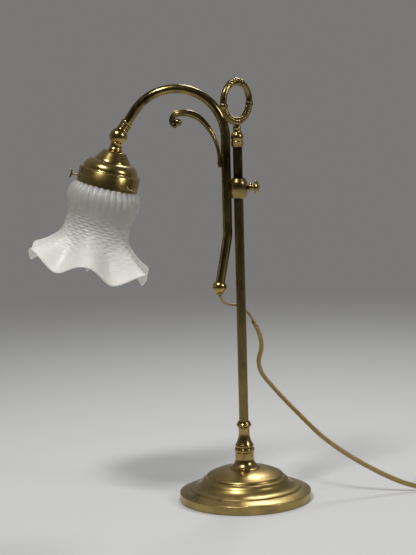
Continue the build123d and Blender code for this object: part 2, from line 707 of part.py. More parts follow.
# Spun shade holder: cone, bead, dome, shoulder and ring
with BuildPart() as gallery:
    with BuildSketch(shade_section):
        with BuildLine():
            Polyline((nipple_r + nipple_fit, -gallery_top_s), (gallery_top_r, -gallery_top_s),
                     (gallery_top_r + 1.0, -gallery_top_s - 0.9),
                     (gallery_cone_r - 0.5, -gallery_top_s - 9.2),
                     (gallery_cone_r, -gallery_top_s - 9.9), (gallery_cone_r + 0.1, -gallery_top_s - 10.9))
            ThreePointArc((gallery_cone_r + 0.1, -gallery_top_s - 10.9),
                          (gallery_dome_r - 2.6, -gallery_top_s - 14.4),
                          (gallery_dome_r, -gallery_top_s - 20.4))
            Polyline((gallery_dome_r, -gallery_top_s - 20.4), (gallery_dome_r + 0.4, -gallery_top_s - 21.5),
                     (gallery_ring_r - 0.8, -gallery_top_s - 22.0), (gallery_ring_r, -gallery_top_s - 22.8),
                     (gallery_ring_r, -gallery_edge_s + 1.0), (gallery_ring_r + 0.4, -gallery_edge_s))
            offset(amount=gallery_wall, side=Side.RIGHT)
        make_face()
    revolve(axis=shade_axis)
    for angle in screw_angles:
        outward = around_shade(angle)
        with BuildSketch(Plane(origin=knuckle_at - lean(shade_tilt) * screw_s, z_dir=outward)):
            Circle(screw_r + screw_fit)
        extrude(amount=gallery_ring_r + 2.0, mode=Mode.SUBTRACT)

# Lock nut under the holder's crown
with BuildPart() as gallery_nut:
    with BuildSketch(Plane(origin=knuckle_at - lean(shade_tilt) * holder_top_s, x_dir=(0, 1, 0),
                           z_dir=lean(shade_tilt))):
        RegularPolygon(locknut_flats / 2, 6, major_radius=False)
        Circle(nipple_r, mode=Mode.SUBTRACT)
    extrude(amount=locknut_h)

# Lampholder: sleeve and insulating core
with BuildPart() as holder_sleeve:
    with BuildSketch(shade_section):
        with BuildLine():
            Polyline((nipple_r + nipple_fit, -holder_top_s), (holder_r - 2.4, -holder_top_s),
                     (holder_r, -holder_top_s - 2.4), (holder_r, -holder_mouth_s))
            offset(amount=holder_wall, side=Side.RIGHT)
        make_face()
    revolve(axis=shade_axis)

core_r = holder_r - holder_wall - core_fit
core_top = holder_top_s + holder_wall
with BuildPart() as holder_core:
    with BuildSketch(shade_section):
        with BuildLine():
            Polyline((wire_room_r, -core_top), (core_r - 3.4, -core_top), (core_r, -core_top - 3.4),
                     (core_r, -holder_mouth_s + 1.6), (bulb_cap_r + 0.2, -holder_mouth_s + 1.6),
                     (bulb_cap_r + 0.2, -bulb_foot_s), (0, -bulb_foot_s), (0, -core_top - wire_room_h),
                     (wire_room_r, -core_top - wire_room_h), close=True)
        make_face()
    revolve(axis=shade_axis)

# Two inner wires from the nipple to the core's terminals
with BuildPart() as holder_wires:
    with BuildSketch(Plane(origin=knuckle_at - lean(shade_tilt) * (core_top + wire_room_h), x_dir=(0, 1, 0),
                           z_dir=lean(shade_tilt))):
        with Locations((-wire_gap / 2, 0), (wire_gap / 2, 0)):
            Circle(wire_r)
    extrude(amount=core_top + wire_room_h - knuckle_r - 1.6)

# Candle bulb: metal cap and blown glass
cap_edge_s = bulb_foot_s + bulb_cap_h
with BuildPart() as bulb_cap:
    with BuildSketch(shade_section):
        with BuildLine():
            Polyline((0, -bulb_foot_s), (3.2, -bulb_foot_s), (bulb_cap_r - 1.4, -bulb_foot_s - 3.0),
                     (bulb_cap_r, -bulb_foot_s - 4.2), (bulb_cap_r, -cap_edge_s),
                     (bulb_cap_r - bulb_cap_wall, -cap_edge_s),
                     (bulb_cap_r - bulb_cap_wall, -bulb_foot_s - 4.8),
                     (0, -bulb_foot_s - 4.8), close=True)
        make_face()
    revolve(axis=shade_axis)

stem_r_glass = bulb_cap_r - bulb_cap_wall - 0.05
with BuildPart() as bulb_glass:
    with BuildSketch(shade_section):
        with BuildLine():
            Polyline((stem_r_glass - bulb_wall, -cap_edge_s + 8.0), (stem_r_glass, -cap_edge_s + 8.0),
                     (stem_r_glass, -cap_edge_s), (bulb_cap_r + 0.3, -cap_edge_s))
            Spline((bulb_cap_r + 0.3, -cap_edge_s), (bulb_r - 4.2, -cap_edge_s - 13.0),
                   (bulb_r, -cap_edge_s - 32.0), (bulb_r - 5.0, -cap_edge_s - 55.0),
                   (bulb_r - 12.4, -cap_edge_s - 70.0), (0, -bulb_tip_s))
            Line((0, -bulb_tip_s), (0, -bulb_tip_s + 1.6))
            Spline((0, -bulb_tip_s + 1.6), (bulb_r - 13.5, -cap_edge_s - 69.2),
                   (bulb_r - 5.9, -cap_edge_s - 54.6), (bulb_r - bulb_wall, -cap_edge_s - 32.0),
                   (bulb_r - 5.0, -cap_edge_s - 13.5), (stem_r_glass - bulb_wall, -cap_edge_s + 1.0))
            Line((stem_r_glass - bulb_wall, -cap_edge_s + 1.0), (stem_r_glass - bulb_wall, -cap_edge_s + 8.0))
        make_face()
    revolve(axis=shade_axis)

# Glass shade: one ruffle of the rim from arch to arch, repeated round the axis
arch_line = ((lip_out_r, -lip_up), (neck_out_r, -lip_up + 3.4), (neck_out_r, -2.6), (33.2, 3.2), (36.4, 9.0),
             (37.1, 16.0), (35.8, 26.0), (33.8, 37.0), (34.6, 47.0), (40.4, 57.0), (50.6, 66.0),
             (60.8, 72.8), (69.3, 77.1))
lobe_line = ((lip_out_r, -lip_up), (neck_out_r, -lip_up + 3.4), (neck_out_r, -2.6), (33.2, 3.2), (36.4, 9.0),
             (37.1, 16.0), (35.8, 26.0), (33.8, 37.0), (34.2, 48.0), (37.2, 59.0), (43.0, 70.6),
             (50.6, 82.0), (60.0, 92.3))


def glass_line(angle, depth):
    """Points of the glass's section at this angle from an arch, sunk by depth into the wall."""
    share = (1 + math.cos(math.radians(ruffles * angle))) / 2
    line = [(share * a[0] + (1 - share) * b[0], share * a[1] + (1 - share) * b[1])
            for a, b in zip(arch_line, lobe_line)]
    sunk = []
    for index, (radius, down) in enumerate(line):
        before = line[max(index - 1, 0)]
        after = line[min(index + 1, len(line) - 1)]
        length = math.hypot(after[0] - before[0], after[1] - before[1])
        sunk.append((radius - depth * (after[1] - before[1]) / length,
                     -gallery_edge_s - down - depth * (after[0] - before[0]) / length))
    return sunk


sector = 360.0 / ruffles
with BuildPart() as glass_sector:
    for cut in range(sector_cuts + 1):
        angle = sector * cut / sector_cuts
        outward = around_shade(angle)
        outer = glass_line(angle, 0.0)
        inner = glass_line(angle, glass_wall)
        with BuildSketch(Plane(origin=knuckle_at, x_dir=outward, z_dir=outward.cross(lean(shade_tilt)))):
            with BuildLine():
                Spline(*outer)
                Line(outer[-1], inner[-1])
                Spline(*reversed(inner))
                Line(inner[0], outer[0])
            make_face()
    loft()

with BuildPart() as glass_shade:
    for count in range(ruffles):
        add(glass_sector.part.rotate(shade_axis, sector * count))

# Three hooked thumbscrews that hold the glass's neck
gallery_screws = []
for angle in screw_angles:
    outward = around_shade(angle)
    tip = knuckle_at - lean(shade_tilt) * screw_s + outward * (neck_out_r + screw_gap)
    section = Plane(origin=tip, x_dir=outward, z_dir=outward.cross(lean(shade_tilt)))
    with BuildPart() as gallery_screw:
        with BuildSketch(Plane(origin=tip, z_dir=outward)):
            Circle(screw_r)
        extrude(amount=screw_reach)
        with BuildLine(section) as wing_path:
            ThreePointArc((screw_reach + wing_sag, wing_span / 2), (screw_reach, 0),
                          (screw_reach + wing_sag, -wing_span / 2))
        with BuildSketch(Plane(origin=wing_path.line @ 0, z_dir=wing_path.line % 0)):
            Circle(wing_r)
        sweep(path=wing_path.wires()[0])
        for end in (0, 1):
            with Locations(wing_path.line @ end):
                Sphere(wing_r)
    gallery_screws.append(gallery_screw.part)

# Cord: lead under the arm's ball, then the long hanging stretch down to the table
lead_points = [(ball_at.X, 0, mouth_z), (ball_at.X, 0, 210.6), (3.5, 10.9, 207.8), (12.32, 11.11, 191.08)]
drop_points = [(12.32, 11.11, 191.08), (24.5, 11.4, 168.0), (14.0, 11.0, 141.0),
               (35.0, 10.6, 114.5), (62.0, 10.2, 85.0), (89.0, 10.0, 57.0), (136.0, 9.9, 25.5),
               (184.0, cord_y, cord_lie_z), (coil_x - cord_straight, cord_y, cord_lie_z)]


def corner_radii(points):
    """Bend radius at each corner: 0.45 of the shorter run beside it, over tan of half the turn."""
    radii = []
    for before, at, after in zip(points, points[1:], points[2:]):
        run_in = Vector(*at) - Vector(*before)
        run_out = Vector(*after) - Vector(*at)
        half_turn = math.radians(run_in.get_angle(run_out)) / 2
        radii.append(0.45 * min(run_in.length, run_out.length) / math.tan(half_turn))
    return radii


print("lead radii", [round(radius, 1) for radius in corner_radii(lead_points)])
print("drop radii", [round(radius, 1) for radius in corner_radii(drop_points)])
with BuildPart() as cord_lead:
    with BuildLine() as lead_path:
        FilletPolyline(*lead_points, radius=corner_radii(lead_points))
    with BuildSketch(Plane(origin=lead_points[0], z_dir=lead_path.line % 0)):
        Circle(cord_r)
    sweep(path=lead_path.wires()[0])

with BuildPart() as cord_drop:
    with BuildLine() as drop_path:
        FilletPolyline(*drop_points, radius=corner_radii(drop_points))
    with BuildSketch(Plane(origin=drop_points[0], z_dir=drop_path.line % 0)):
        Circle(cord_r)
    sweep(path=drop_path.wires()[0])

# Rest of the cord, wound flat on the table: in on one layer, up, and out again on the next
plug_z = plug_t / 2
top_z = cord_lie_z + coil_rise
half_turns = [coil_in_r + coil_pitch / 2 * count for count in range(2 * coil_turns - 1, -1, -1)]
climb_r = coil_in_r - coil_pitch / 2
return_turns = [coil_in_r + coil_pitch / 2 * count for count in range(2 * coil_turns - 1)]
with BuildPart() as cord_coil:
    with BuildLine() as coil_path:
        coil_runs = [Line((coil_x - cord_straight, cord_y, cord_lie_z), (coil_x, cord_y, cord_lie_z))]
        at_y = cord_y
        side = 1
        for radius in half_turns:
            mid = (coil_x + side * radius, at_y + side * radius, cord_lie_z)
            far = (coil_x, at_y + side * 2 * radius, cord_lie_z)
            coil_runs.append(ThreePointArc((coil_x, at_y, cord_lie_z), mid, far))
            at_y += side * 2 * radius
            side = -side
        tilted = math.hypot(climb_r, coil_rise / 2)
        mid = (coil_x + side * tilted, at_y + side * climb_r, cord_lie_z + coil_rise / 2)
        far = (coil_x, at_y + side * 2 * climb_r, top_z)
        coil_runs.append(ThreePointArc((coil_x, at_y, cord_lie_z), mid, far))
        at_y += side * 2 * climb_r
        side = -side
        for radius in return_turns:
            mid = (coil_x + side * radius, at_y + side * radius, top_z)
            far = (coil_x, at_y + side * 2 * radius, top_z)
            coil_runs.append(ThreePointArc((coil_x, at_y, top_z), mid, far))
            at_y += side * 2 * radius
            side = -side
        lead_mid = (coil_x + plug_lead / 2, at_y, (top_z + plug_z) / 2)
        lead_end = (coil_x + plug_lead, at_y, plug_z)
        coil_runs.append(TangentArc((coil_x, at_y, top_z), lead_mid, tangent=(1, 0, 0)))
        TangentArc(lead_end, lead_mid, tangent=(-1, 0, 0))
        Line(lead_end, (coil_x + plug_lead + plug_seat, at_y, plug_z))
    with BuildSketch(Plane(origin=(coil_x - cord_straight, cord_y, cord_lie_z), z_dir=(1, 0, 0))):
        Circle(cord_r)
    sweep(path=coil_path.wires()[0])

# Strap tie round the coil's side
tie_y = cord_y + half_turns[0]
tie_in = coil_x - half_turns[1] - cord_r - tie_room
tie_out = coil_x - half_turns[-1] + cord_r + tie_room + tie_slack
tie_low = cord_lie_z - cord_r - tie_room
tie_high = top_z + cord_r + tie_room
with BuildPart() as cord_tie:
    with BuildSketch(Plane.XZ.offset(-tie_y - tie_w / 2)):
        with Locations(((tie_in + tie_out) / 2, (tie_low + tie_high) / 2)):
            RectangleRounded(tie_out - tie_in + 2 * tie_t, tie_high - tie_low + 2 * tie_t, 2.5)
            RectangleRounded(tie_out - tie_in, tie_high - tie_low, 2.0, mode=Mode.SUBTRACT)
    extrude(amount=tie_w)

# Two-pin plug with its tapered sleeve
relief_x = coil_x + plug_lead
body_x = relief_x + relief_len
with BuildPart() as cord_relief:
    with BuildSketch(Plane.XZ.offset(-cord_y)):
        with BuildLine():
            Polyline((relief_x, plug_z + cord_r), (relief_x, plug_z + relief_r1),
                     (body_x, plug_z + relief_r2), (body_x, plug_z), (relief_x + plug_seat, plug_z),
                     (relief_x + plug_seat, plug_z + cord_r), close=True)
        make_face()
        with Locations([(relief_x + 4.0 + 3.4 * count, plug_z + relief_r2) for count in range(5)]):
            Rectangle(1.1, 2 * (relief_r2 - relief_r1) - 0.6, mode=Mode.SUBTRACT)
    revolve(axis=Axis((0, cord_y, plug_z), (1, 0, 0)))

with BuildPart() as plug_body:
    with BuildSketch():
        with BuildLine():
            Polyline((body_x, cord_y - 6.5), (body_x + 6.0, cord_y - 8.0),
                     (body_x + 15.0, cord_y - plug_w / 2),
                     (body_x + plug_len, cord_y - plug_w / 2), (body_x + plug_len, cord_y + plug_w / 2),
                     (body_x + 15.0, cord_y + plug_w / 2), (body_x + 6.0, cord_y + 8.0),
                     (body_x, cord_y + 6.5), close=True)
        make_face()
    extrude(amount=plug_t)
    fillet(plug_body.edges().filter_by(Axis.Z), radius=2.5)
    fillet(plug_body.faces().sort_by(Axis.Z)[-1].edges(), radius=2.2)
    fillet(plug_body.faces().sort_by(Axis.Z)[0].edges(), radius=2.2)

with BuildPart() as plug_pins:
    with BuildSketch(Plane.YZ.offset(body_x + plug_len)):
        with Locations((cord_y - pin_gap / 2, plug_z), (cord_y + pin_gap / 2, plug_z)):
            Circle(pin_r)
    extrude(amount=pin_len)
    chamfer(plug_pins.faces().sort_by(Axis.X)[-2:].edges(), length=0.6)

pieces = {
    "felt_pad": felt_pad, "base_shell": base_shell, "ballast": ballast, "base_washer": base_washer,
    "base_nut": base_nut, "tie_rod": tie_rod, "lower_pedestal": lower_pedestal,
    "upper_pedestal": upper_pedestal, "stem_tube": stem_tube, "finial_knob": finial_knob,
    "finial_ring": finial_ring, "slide_bush": slide_bush, "clamp_collar": clamp_collar,
    "clamp_screw": clamp_screw, "arm_tube": arm_tube, "arm_flex": arm_flex, "end_ball": end_ball,
    "cord_grommet": cord_grommet, "arm_scroll": arm_scroll, "scroll_rivet": scroll_rivet,
    "knuckle_neck": knuckle_neck, "knuckle_screw": knuckle_screw, "knuckle_stub": knuckle_stub,
    "gallery": gallery, "gallery_nut": gallery_nut, "holder_sleeve": holder_sleeve,
    "holder_core": holder_core, "holder_wires": holder_wires, "bulb_cap": bulb_cap,
    "bulb_glass": bulb_glass, "glass_shade": glass_shade, "cord_lead": cord_lead,
    "cord_drop": cord_drop, "cord_coil": cord_coil, "cord_tie": cord_tie, "cord_relief": cord_relief,
    "plug_body": plug_body, "plug_pins": plug_pins,
}
for label, piece in pieces.items():
    piece.part.label = label
    export_step(piece.part, f"parts/{label}.step")
for label, piece in zip(("gallery_screw_left", "gallery_screw_front", "gallery_screw_rear"), gallery_screws):
    piece.label = label
    export_step(piece, f"parts/{label}.step")

lead_length = sum(edge.length for edge in lead_path.edges())
drop_length = sum(edge.length for edge in drop_path.edges())
coil_length = sum(edge.length for edge in coil_path.edges())
for label, piece, length in (("cord_lead", cord_lead, lead_length), ("cord_drop", cord_drop, drop_length),
                             ("cord_coil", cord_coil, coil_length)):
    share = piece.part.volume / (math.pi * cord_r ** 2 * length)
    print(label, "length", round(length, 1), "volume over section times length", round(share, 4))
print("whole cord", round(lead_length + drop_length + coil_length, 1))
samples = []
run = 0.0
for edge in coil_runs:
    steps = max(2, int(edge.length / 1.5))
    samples += [(run + edge.length * k / steps, edge @ (k / steps)) for k in range(steps)]
    run += edge.length
least = min((a[1] - b[1]).length for i, a in enumerate(samples) for b in samples[i + 1:]
            if b[0] - a[0] > 4 * coil_pitch)
print("least gap of the coil to itself", round(least - 2 * cord_r, 2))
print("knuckle", [round(value, 2) for value in knuckle_at], "ball", [round(value, 2) for value in ball_at])
print("cord mouth z", round(mouth_z, 2), "plug body from x", round(body_x, 2),
      "pins from x", round(body_x + plug_len, 2))
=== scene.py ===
import json
import math

import bmesh
import bpy
import numpy as np
from mathutils import Euler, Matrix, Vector


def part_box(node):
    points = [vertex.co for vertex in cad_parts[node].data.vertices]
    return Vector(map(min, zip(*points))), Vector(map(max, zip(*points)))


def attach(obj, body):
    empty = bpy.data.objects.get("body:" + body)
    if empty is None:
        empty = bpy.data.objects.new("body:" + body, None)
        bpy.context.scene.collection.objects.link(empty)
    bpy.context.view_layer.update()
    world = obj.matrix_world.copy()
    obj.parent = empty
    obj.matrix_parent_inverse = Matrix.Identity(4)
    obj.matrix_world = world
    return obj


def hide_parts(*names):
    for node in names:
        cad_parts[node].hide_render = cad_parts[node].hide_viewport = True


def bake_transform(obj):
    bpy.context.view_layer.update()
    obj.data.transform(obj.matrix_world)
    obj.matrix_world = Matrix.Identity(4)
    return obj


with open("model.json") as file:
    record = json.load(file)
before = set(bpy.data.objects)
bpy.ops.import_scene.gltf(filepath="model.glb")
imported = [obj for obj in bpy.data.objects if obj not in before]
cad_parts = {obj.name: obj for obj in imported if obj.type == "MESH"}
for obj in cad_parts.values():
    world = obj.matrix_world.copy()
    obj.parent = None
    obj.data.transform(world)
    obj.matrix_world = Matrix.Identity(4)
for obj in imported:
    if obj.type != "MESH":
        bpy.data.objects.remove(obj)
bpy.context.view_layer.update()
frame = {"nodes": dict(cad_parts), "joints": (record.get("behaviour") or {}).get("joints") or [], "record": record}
nodes = frame["nodes"]
joints = {joint["name"]: joint for joint in frame["joints"]}
body_of = {node: body for body, members in frame["record"]["behaviour"]["bodies"].items() for node in members}
mm = 0.001

# Camera: in front of the lamp, a little above it, looking slightly down and rolled a touch
view_from = (-0.03416, -1.943, 0.5295)
view_down = math.radians(8.483)
view_roll = math.radians(-1.5)
photo_height = 555.0
focal_pixels = 1868.0
sensor = 36.0

# Places the new pieces are built on, all taken from the frame
pivot = Vector(joints["shade_tilt"]["pos_m"])
screw_spot = Vector(joints["holder_screw_front_turn"]["pos_m"])
shade_up = (pivot - screw_spot).normalized()
knob_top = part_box("finial_knob")[1].z
ball_low, ball_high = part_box("end_ball")
edge_below_screws = 5.2 * mm
gallery_edge = (pivot - screw_spot).length + edge_below_screws


def unit(vectors):
    """Each row of an array divided by its own length."""
    return vectors / np.maximum(np.linalg.norm(vectors, axis=-1, keepdims=True), 1e-12)


def step_up(x, low, high):
    """0 below low, 1 above high, and 3t2 - 2t3 between them."""
    t = np.clip((x - low) / (high - low), 0.0, 1.0)
    return t * t * (3.0 - 2.0 * t)


def mesh_piece(name, points, faces, uv=None, crease=None):
    """An object whose mesh has these points and faces, smooth shaded, with outward faces."""
    mesh = bpy.data.meshes.new(name)
    mesh.from_pydata(points.tolist(), [], faces)
    mesh.update()
    if uv is not None:
        corner = np.empty(len(mesh.loops), dtype=np.int32)
        mesh.loops.foreach_get("vertex_index", corner)
        layer = mesh.uv_layers.new(name="surface")
        layer.data.foreach_set("uv", uv[corner].ravel())
    mesh.shade_smooth()
    if crease is not None:
        mesh.set_sharp_from_angle(angle=math.radians(crease))
    piece = bpy.data.objects.new(name, mesh)
    bpy.context.scene.collection.objects.link(piece)
    return piece


def grid_faces(rows, columns, close_rows=False, close_columns=False):
    """Quads of a grid of rows by columns points, wrapped round where it closes."""
    row = np.arange(rows if close_rows else rows - 1)
    column = np.arange(columns if close_columns else columns - 1)
    r, c = np.meshgrid(row, column, indexing="ij")
    r2, c2 = (r + 1) % rows, (c + 1) % columns
    quads = np.stack([r * columns + c, r * columns + c2, r2 * columns + c2, r2 * columns + c], axis=-1)
    return quads.reshape(-1, 4).tolist()


def volume_sign(points, faces):
    """Sum of the origin's tetrahedra over the faces: positive where faces point outwards."""
    total = 0.0
    for size in (3, 4):
        chosen = np.array([face for face in faces if len(face) == size], dtype=int)
        if len(chosen) == 0:
            continue
        a, b, c = points[chosen[:, 0]], points[chosen[:, 1]], points[chosen[:, 2]]
        total += np.einsum("ij,ij->", a, np.cross(b, c))
        if size == 4:
            d = points[chosen[:, 3]]
            total += np.einsum("ij,ij->", a, np.cross(c, d))
    return total


def skin(name, grid, close_rows=False, close_columns=True, caps=False, uv=None, crease=None):
    """Closed piece from a grid of points, wrapped round its columns, with a fan closing each end if asked."""
    rows, columns = grid.shape[:2]
    points = grid.reshape(-1, 3)
    faces = grid_faces(rows, columns, close_rows, close_columns)
    flat_uv = None if uv is None else uv.reshape(-1, 2)
    if caps:
        first, last = len(points), len(points) + 1
        points = np.vstack([points, grid[0].mean(axis=0), grid[-1].mean(axis=0)])
        around = range(columns)
        faces += [[first, (c + 1) % columns, c] for c in around]
        base = (rows - 1) * columns
        faces += [[last, base + c, base + (c + 1) % columns] for c in around]
        if flat_uv is not None:
            flat_uv = np.vstack([flat_uv, uv[0].mean(axis=0), uv[-1].mean(axis=0)])
    if volume_sign(points, faces) < 0:
        faces = [face[::-1] for face in faces]
    return mesh_piece(name, points, faces, flat_uv, crease)


def finish_piece(piece, body, material, *replaced):
    """Puts the material on a new piece and makes it stand for its nodes on their body."""
    piece.data.materials.clear()
    piece.data.materials.append(material)
    if replaced:
        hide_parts(*replaced)
    if body is not None:
        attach(piece, body)
    return piece


# Materials


def shader(name):
    """A new node material, its shader and a helper that adds and links nodes."""
    material = bpy.data.materials.new(name)
    material.use_nodes = True
    tree = material.node_tree
    return material, tree, tree.nodes["Principled BSDF"]


def noise(tree, scale, detail=4.0, roughness=0.5, stretch=(1, 1, 1), socket="Object"):
    """Noise on the piece's own coordinates, stretched along its axes."""
    coordinates = tree.nodes.new("ShaderNodeTexCoord")
    mapping = tree.nodes.new("ShaderNodeMapping")
    mapping.inputs["Scale"].default_value = stretch
    texture = tree.nodes.new("ShaderNodeTexNoise")
    texture.inputs["Scale"].default_value = scale
    texture.inputs["Detail"].default_value = detail
    texture.inputs["Roughness"].default_value = roughness
    tree.links.new(coordinates.outputs[socket], mapping.inputs["Vector"])
    tree.links.new(mapping.outputs["Vector"], texture.inputs["Vector"])
    return texture.outputs["Fac"]


def ramp(tree, factor, stops):
    """Colour ramp over a factor, from pairs of position and colour."""
    node = tree.nodes.new("ShaderNodeValToRGB")
    tree.links.new(factor, node.inputs["Fac"])
    elements = node.color_ramp.elements
    while len(elements) < len(stops):
        elements.new(0.5)
    for element, (position, colour) in zip(elements, stops):
        element.position = position
        element.color = (*colour, 1.0)
    return node.outputs["Color"]


def spread(tree, factor, low, high):
    """A factor of 0 to 1 spread from low to high."""
    node = tree.nodes.new("ShaderNodeMapRange")
    node.inputs["To Min"].default_value = low
    node.inputs["To Max"].default_value = high
    tree.links.new(factor, node.inputs["Value"])
    return node.outputs["Result"]


def relief(tree, bsdf, height, strength, distance):
    """Bump from a height on the shader's normal."""
    node = tree.nodes.new("ShaderNodeBump")
    node.inputs["Strength"].default_value = strength
    node.inputs["Distance"].default_value = distance
    tree.links.new(height, node.inputs["Height"])
    tree.links.new(node.outputs["Normal"], bsdf.inputs["Normal"])


def brass(name, dark, mid, light, low_gloss, high_gloss, stretch=(1, 1, 1), spots=0.36):
    """Aged lacquered brass: cloudy tone with brown spots, and roughness and fine relief from noises of their own.
    """
    material, tree, bsdf = shader(name)
    bsdf.inputs["Metallic"].default_value = 1.0
    bsdf.inputs["Coat Weight"].default_value = 0.25
    bsdf.inputs["Coat Roughness"].default_value = 0.12
    cloud = noise(tree, 55.0, 6.0, 0.62, stretch)
    tone = ramp(tree, cloud, [(spots - 0.05, dark), (spots + 0.04, mid), (0.72, light)])
    tree.links.new(tone, bsdf.inputs["Base Color"])
    tree.links.new(spread(tree, noise(tree, 140.0, 5.0, 0.6, stretch), low_gloss, high_gloss),
                   bsdf.inputs["Roughness"])
    relief(tree, bsdf, noise(tree, 900.0, 3.0, 0.6, stretch), 0.12, 0.00015)
    return material


def plain_metal(name, colour, rough):
    """Plated or blackened steel with a fine grain."""
    material, tree, bsdf = shader(name)
    bsdf.inputs["Metallic"].default_value = 1.0
    tone = ramp(tree, noise(tree, 300.0), [(0.3, tuple(0.75 * value for value in colour)), (0.7, colour)])
    tree.links.new(tone, bsdf.inputs["Base Color"])
    tree.links.new(spread(tree, noise(tree, 700.0), rough - 0.08, rough + 0.1), bsdf.inputs["Roughness"])
    relief(tree, bsdf, noise(tree, 1500.0), 0.1, 0.0001)
    return material


def moulded(name, colour, rough, grain=1200.0, strength=0.15):
    """Moulded plastic, ceramic or felt: a slightly uneven tone and a fine relief."""
    material, tree, bsdf = shader(name)
    tone = ramp(tree, noise(tree, 200.0), [(0.3, tuple(0.86 * value for value in colour)), (0.7, colour)])
    tree.links.new(tone, bsdf.inputs["Base Color"])
    tree.links.new(spread(tree, noise(tree, 500.0), rough - 0.06, rough + 0.08), bsdf.inputs["Roughness"])
    relief(tree, bsdf, noise(tree, grain), strength, 0.0002)
    return material


def satin_glass(name, colour, through, rough, grain=2200.0):
    """Acid-etched glass: pale, lets light through softly, with a powdery relief."""
    material, tree, bsdf = shader(name)
    tone = ramp(tree, noise(tree, 45.0, 3.0), [(0.3, tuple(0.94 * value for value in colour)), (0.7, colour)])
    tree.links.new(tone, bsdf.inputs["Base Color"])
    bsdf.inputs["Transmission Weight"].default_value = through
    bsdf.inputs["IOR"].default_value = 1.46
    bsdf.inputs["Coat Weight"].default_value = 0.2
    bsdf.inputs["Coat Roughness"].default_value = 0.3
    tree.links.new(spread(tree, noise(tree, 260.0), rough - 0.06, rough + 0.08), bsdf.inputs["Roughness"])
    relief(tree, bsdf, noise(tree, grain, 2.0), 0.1, 0.0001)
    return material


def shade_glass_painted_light(name):
    """Satin glass graded down the wall: thin and see-through at the neck, milkier towards the rim. Its base colour
    is painted light and shade: a darker band below the neck, paler down the skirt, and a painted highlight at the
    rim's edge.
    """
    material = satin_glass(name, (0.7, 0.69, 0.66), 0.5, 0.42)
    tree, bsdf = material.node_tree, material.node_tree.nodes["Principled BSDF"]
    coordinates = tree.nodes.new("ShaderNodeTexCoord")
    split = tree.nodes.new("ShaderNodeSeparateXYZ")
    tree.links.new(coordinates.outputs["UV"], split.inputs["Vector"])
    # Painted light and shade in the base colour: a darker band where the holder shows through the neck, a paler
    # skirt, and a painted highlight along the rim
    tone = ramp(tree, split.outputs["Y"], [(0.05, (0.78, 0.765, 0.72)), (0.28, (0.64, 0.635, 0.595)),
                                           (0.50, (0.74, 0.725, 0.67)), (0.85, (0.90, 0.88, 0.82)),
                                           (0.97, (0.94, 0.915, 0.85))])
    speck = ramp(tree, noise(tree, 60.0, 3.0), [(0.3, (0.93, 0.93, 0.93)), (0.7, (1, 1, 1))])
    mix = tree.nodes.new("ShaderNodeMix")
    mix.data_type = "RGBA"
    mix.blend_type = "MULTIPLY"
    mix.inputs["Factor"].default_value = 1.0
    tree.links.new(tone, mix.inputs["A"])
    tree.links.new(speck, mix.inputs["B"])
    tree.links.new(mix.outputs["Result"], bsdf.inputs["Base Color"])
    see = ramp(tree, split.outputs["Y"], [(0.1, (0.62, 0.62, 0.62)), (0.35, (0.55, 0.55, 0.55)),
                                          (0.7, (0.25, 0.25, 0.25))])
    tree.links.new(see, bsdf.inputs["Transmission Weight"])
    return material


def flex_sheath(name):
    """Clear gold sheath over bright strands: stripes slant along the cord's own surface map."""
    material, tree, bsdf = shader(name)
    coordinates = tree.nodes.new("ShaderNodeTexCoord")
    mapping = tree.nodes.new("ShaderNodeMapping")
    mapping.inputs["Rotation"].default_value = (0, 0, math.radians(24))
    wave = tree.nodes.new("ShaderNodeTexWave")
    wave.inputs["Scale"].default_value = 900.0
    wave.inputs["Distortion"].default_value = 1.0
    tree.links.new(coordinates.outputs["UV"], mapping.inputs["Vector"])
    tree.links.new(mapping.outputs["Vector"], wave.inputs["Vector"])
    tone = ramp(tree, wave.outputs["Fac"], [(0.2, (0.20, 0.125, 0.032)), (0.8, (0.46, 0.32, 0.105))])
    tree.links.new(tone, bsdf.inputs["Base Color"])
    bsdf.inputs["Metallic"].default_value = 0.35
    bsdf.inputs["Coat Weight"].default_value = 0.6
    bsdf.inputs["Coat Roughness"].default_value = 0.15
    tree.links.new(spread(tree, wave.outputs["Fac"], 0.28, 0.4), bsdf.inputs["Roughness"])
    return material


polished = brass("polished_brass", (0.11, 0.07, 0.02), (0.36, 0.25, 0.082), (0.48, 0.345, 0.12), 0.16, 0.30)
drawn = brass("drawn_brass_tube", (0.05, 0.033, 0.01), (0.19, 0.135, 0.045), (0.34, 0.25, 0.085), 0.15, 0.30,
              (1, 1, 0.35), 0.43)
cast = brass("cast_brass", (0.06, 0.04, 0.012), (0.22, 0.155, 0.05), (0.38, 0.275, 0.095), 0.18, 0.34)
spun = brass("spun_base_brass", (0.12, 0.08, 0.025), (0.34, 0.24, 0.08), (0.47, 0.34, 0.12), 0.25, 0.40)
steel = plain_metal("plated_steel", (0.62, 0.62, 0.6), 0.32)
iron = plain_metal("cast_iron", (0.12, 0.12, 0.12), 0.6)
felt = moulded("green_felt", (0.03, 0.08, 0.04), 0.95, 2500.0, 0.6)
nylon = moulded("natural_nylon", (0.7, 0.68, 0.6), 0.5)
grommet = moulded("amber_grommet", (0.35, 0.24, 0.08), 0.4)
sleeve = moulded("lampholder_sleeve", (0.72, 0.7, 0.62), 0.35)
ceramic = moulded("lampholder_core", (0.78, 0.77, 0.72), 0.45)
wire = moulded("inner_wire", (0.45, 0.33, 0.12), 0.4)
cap_metal = plain_metal("bulb_cap", (0.72, 0.72, 0.7), 0.25)
bulb_white = satin_glass("frosted_bulb", (0.78, 0.77, 0.74), 0.3, 0.4)
etched_and_painted = shade_glass_painted_light("etched_glass_painted_light")
tie_black = moulded("strap_tie", (0.03, 0.03, 0.03), 0.5)
plug_gold = moulded("gold_plug", (0.42, 0.3, 0.09), 0.35)
sheath = flex_sheath("gold_flex")

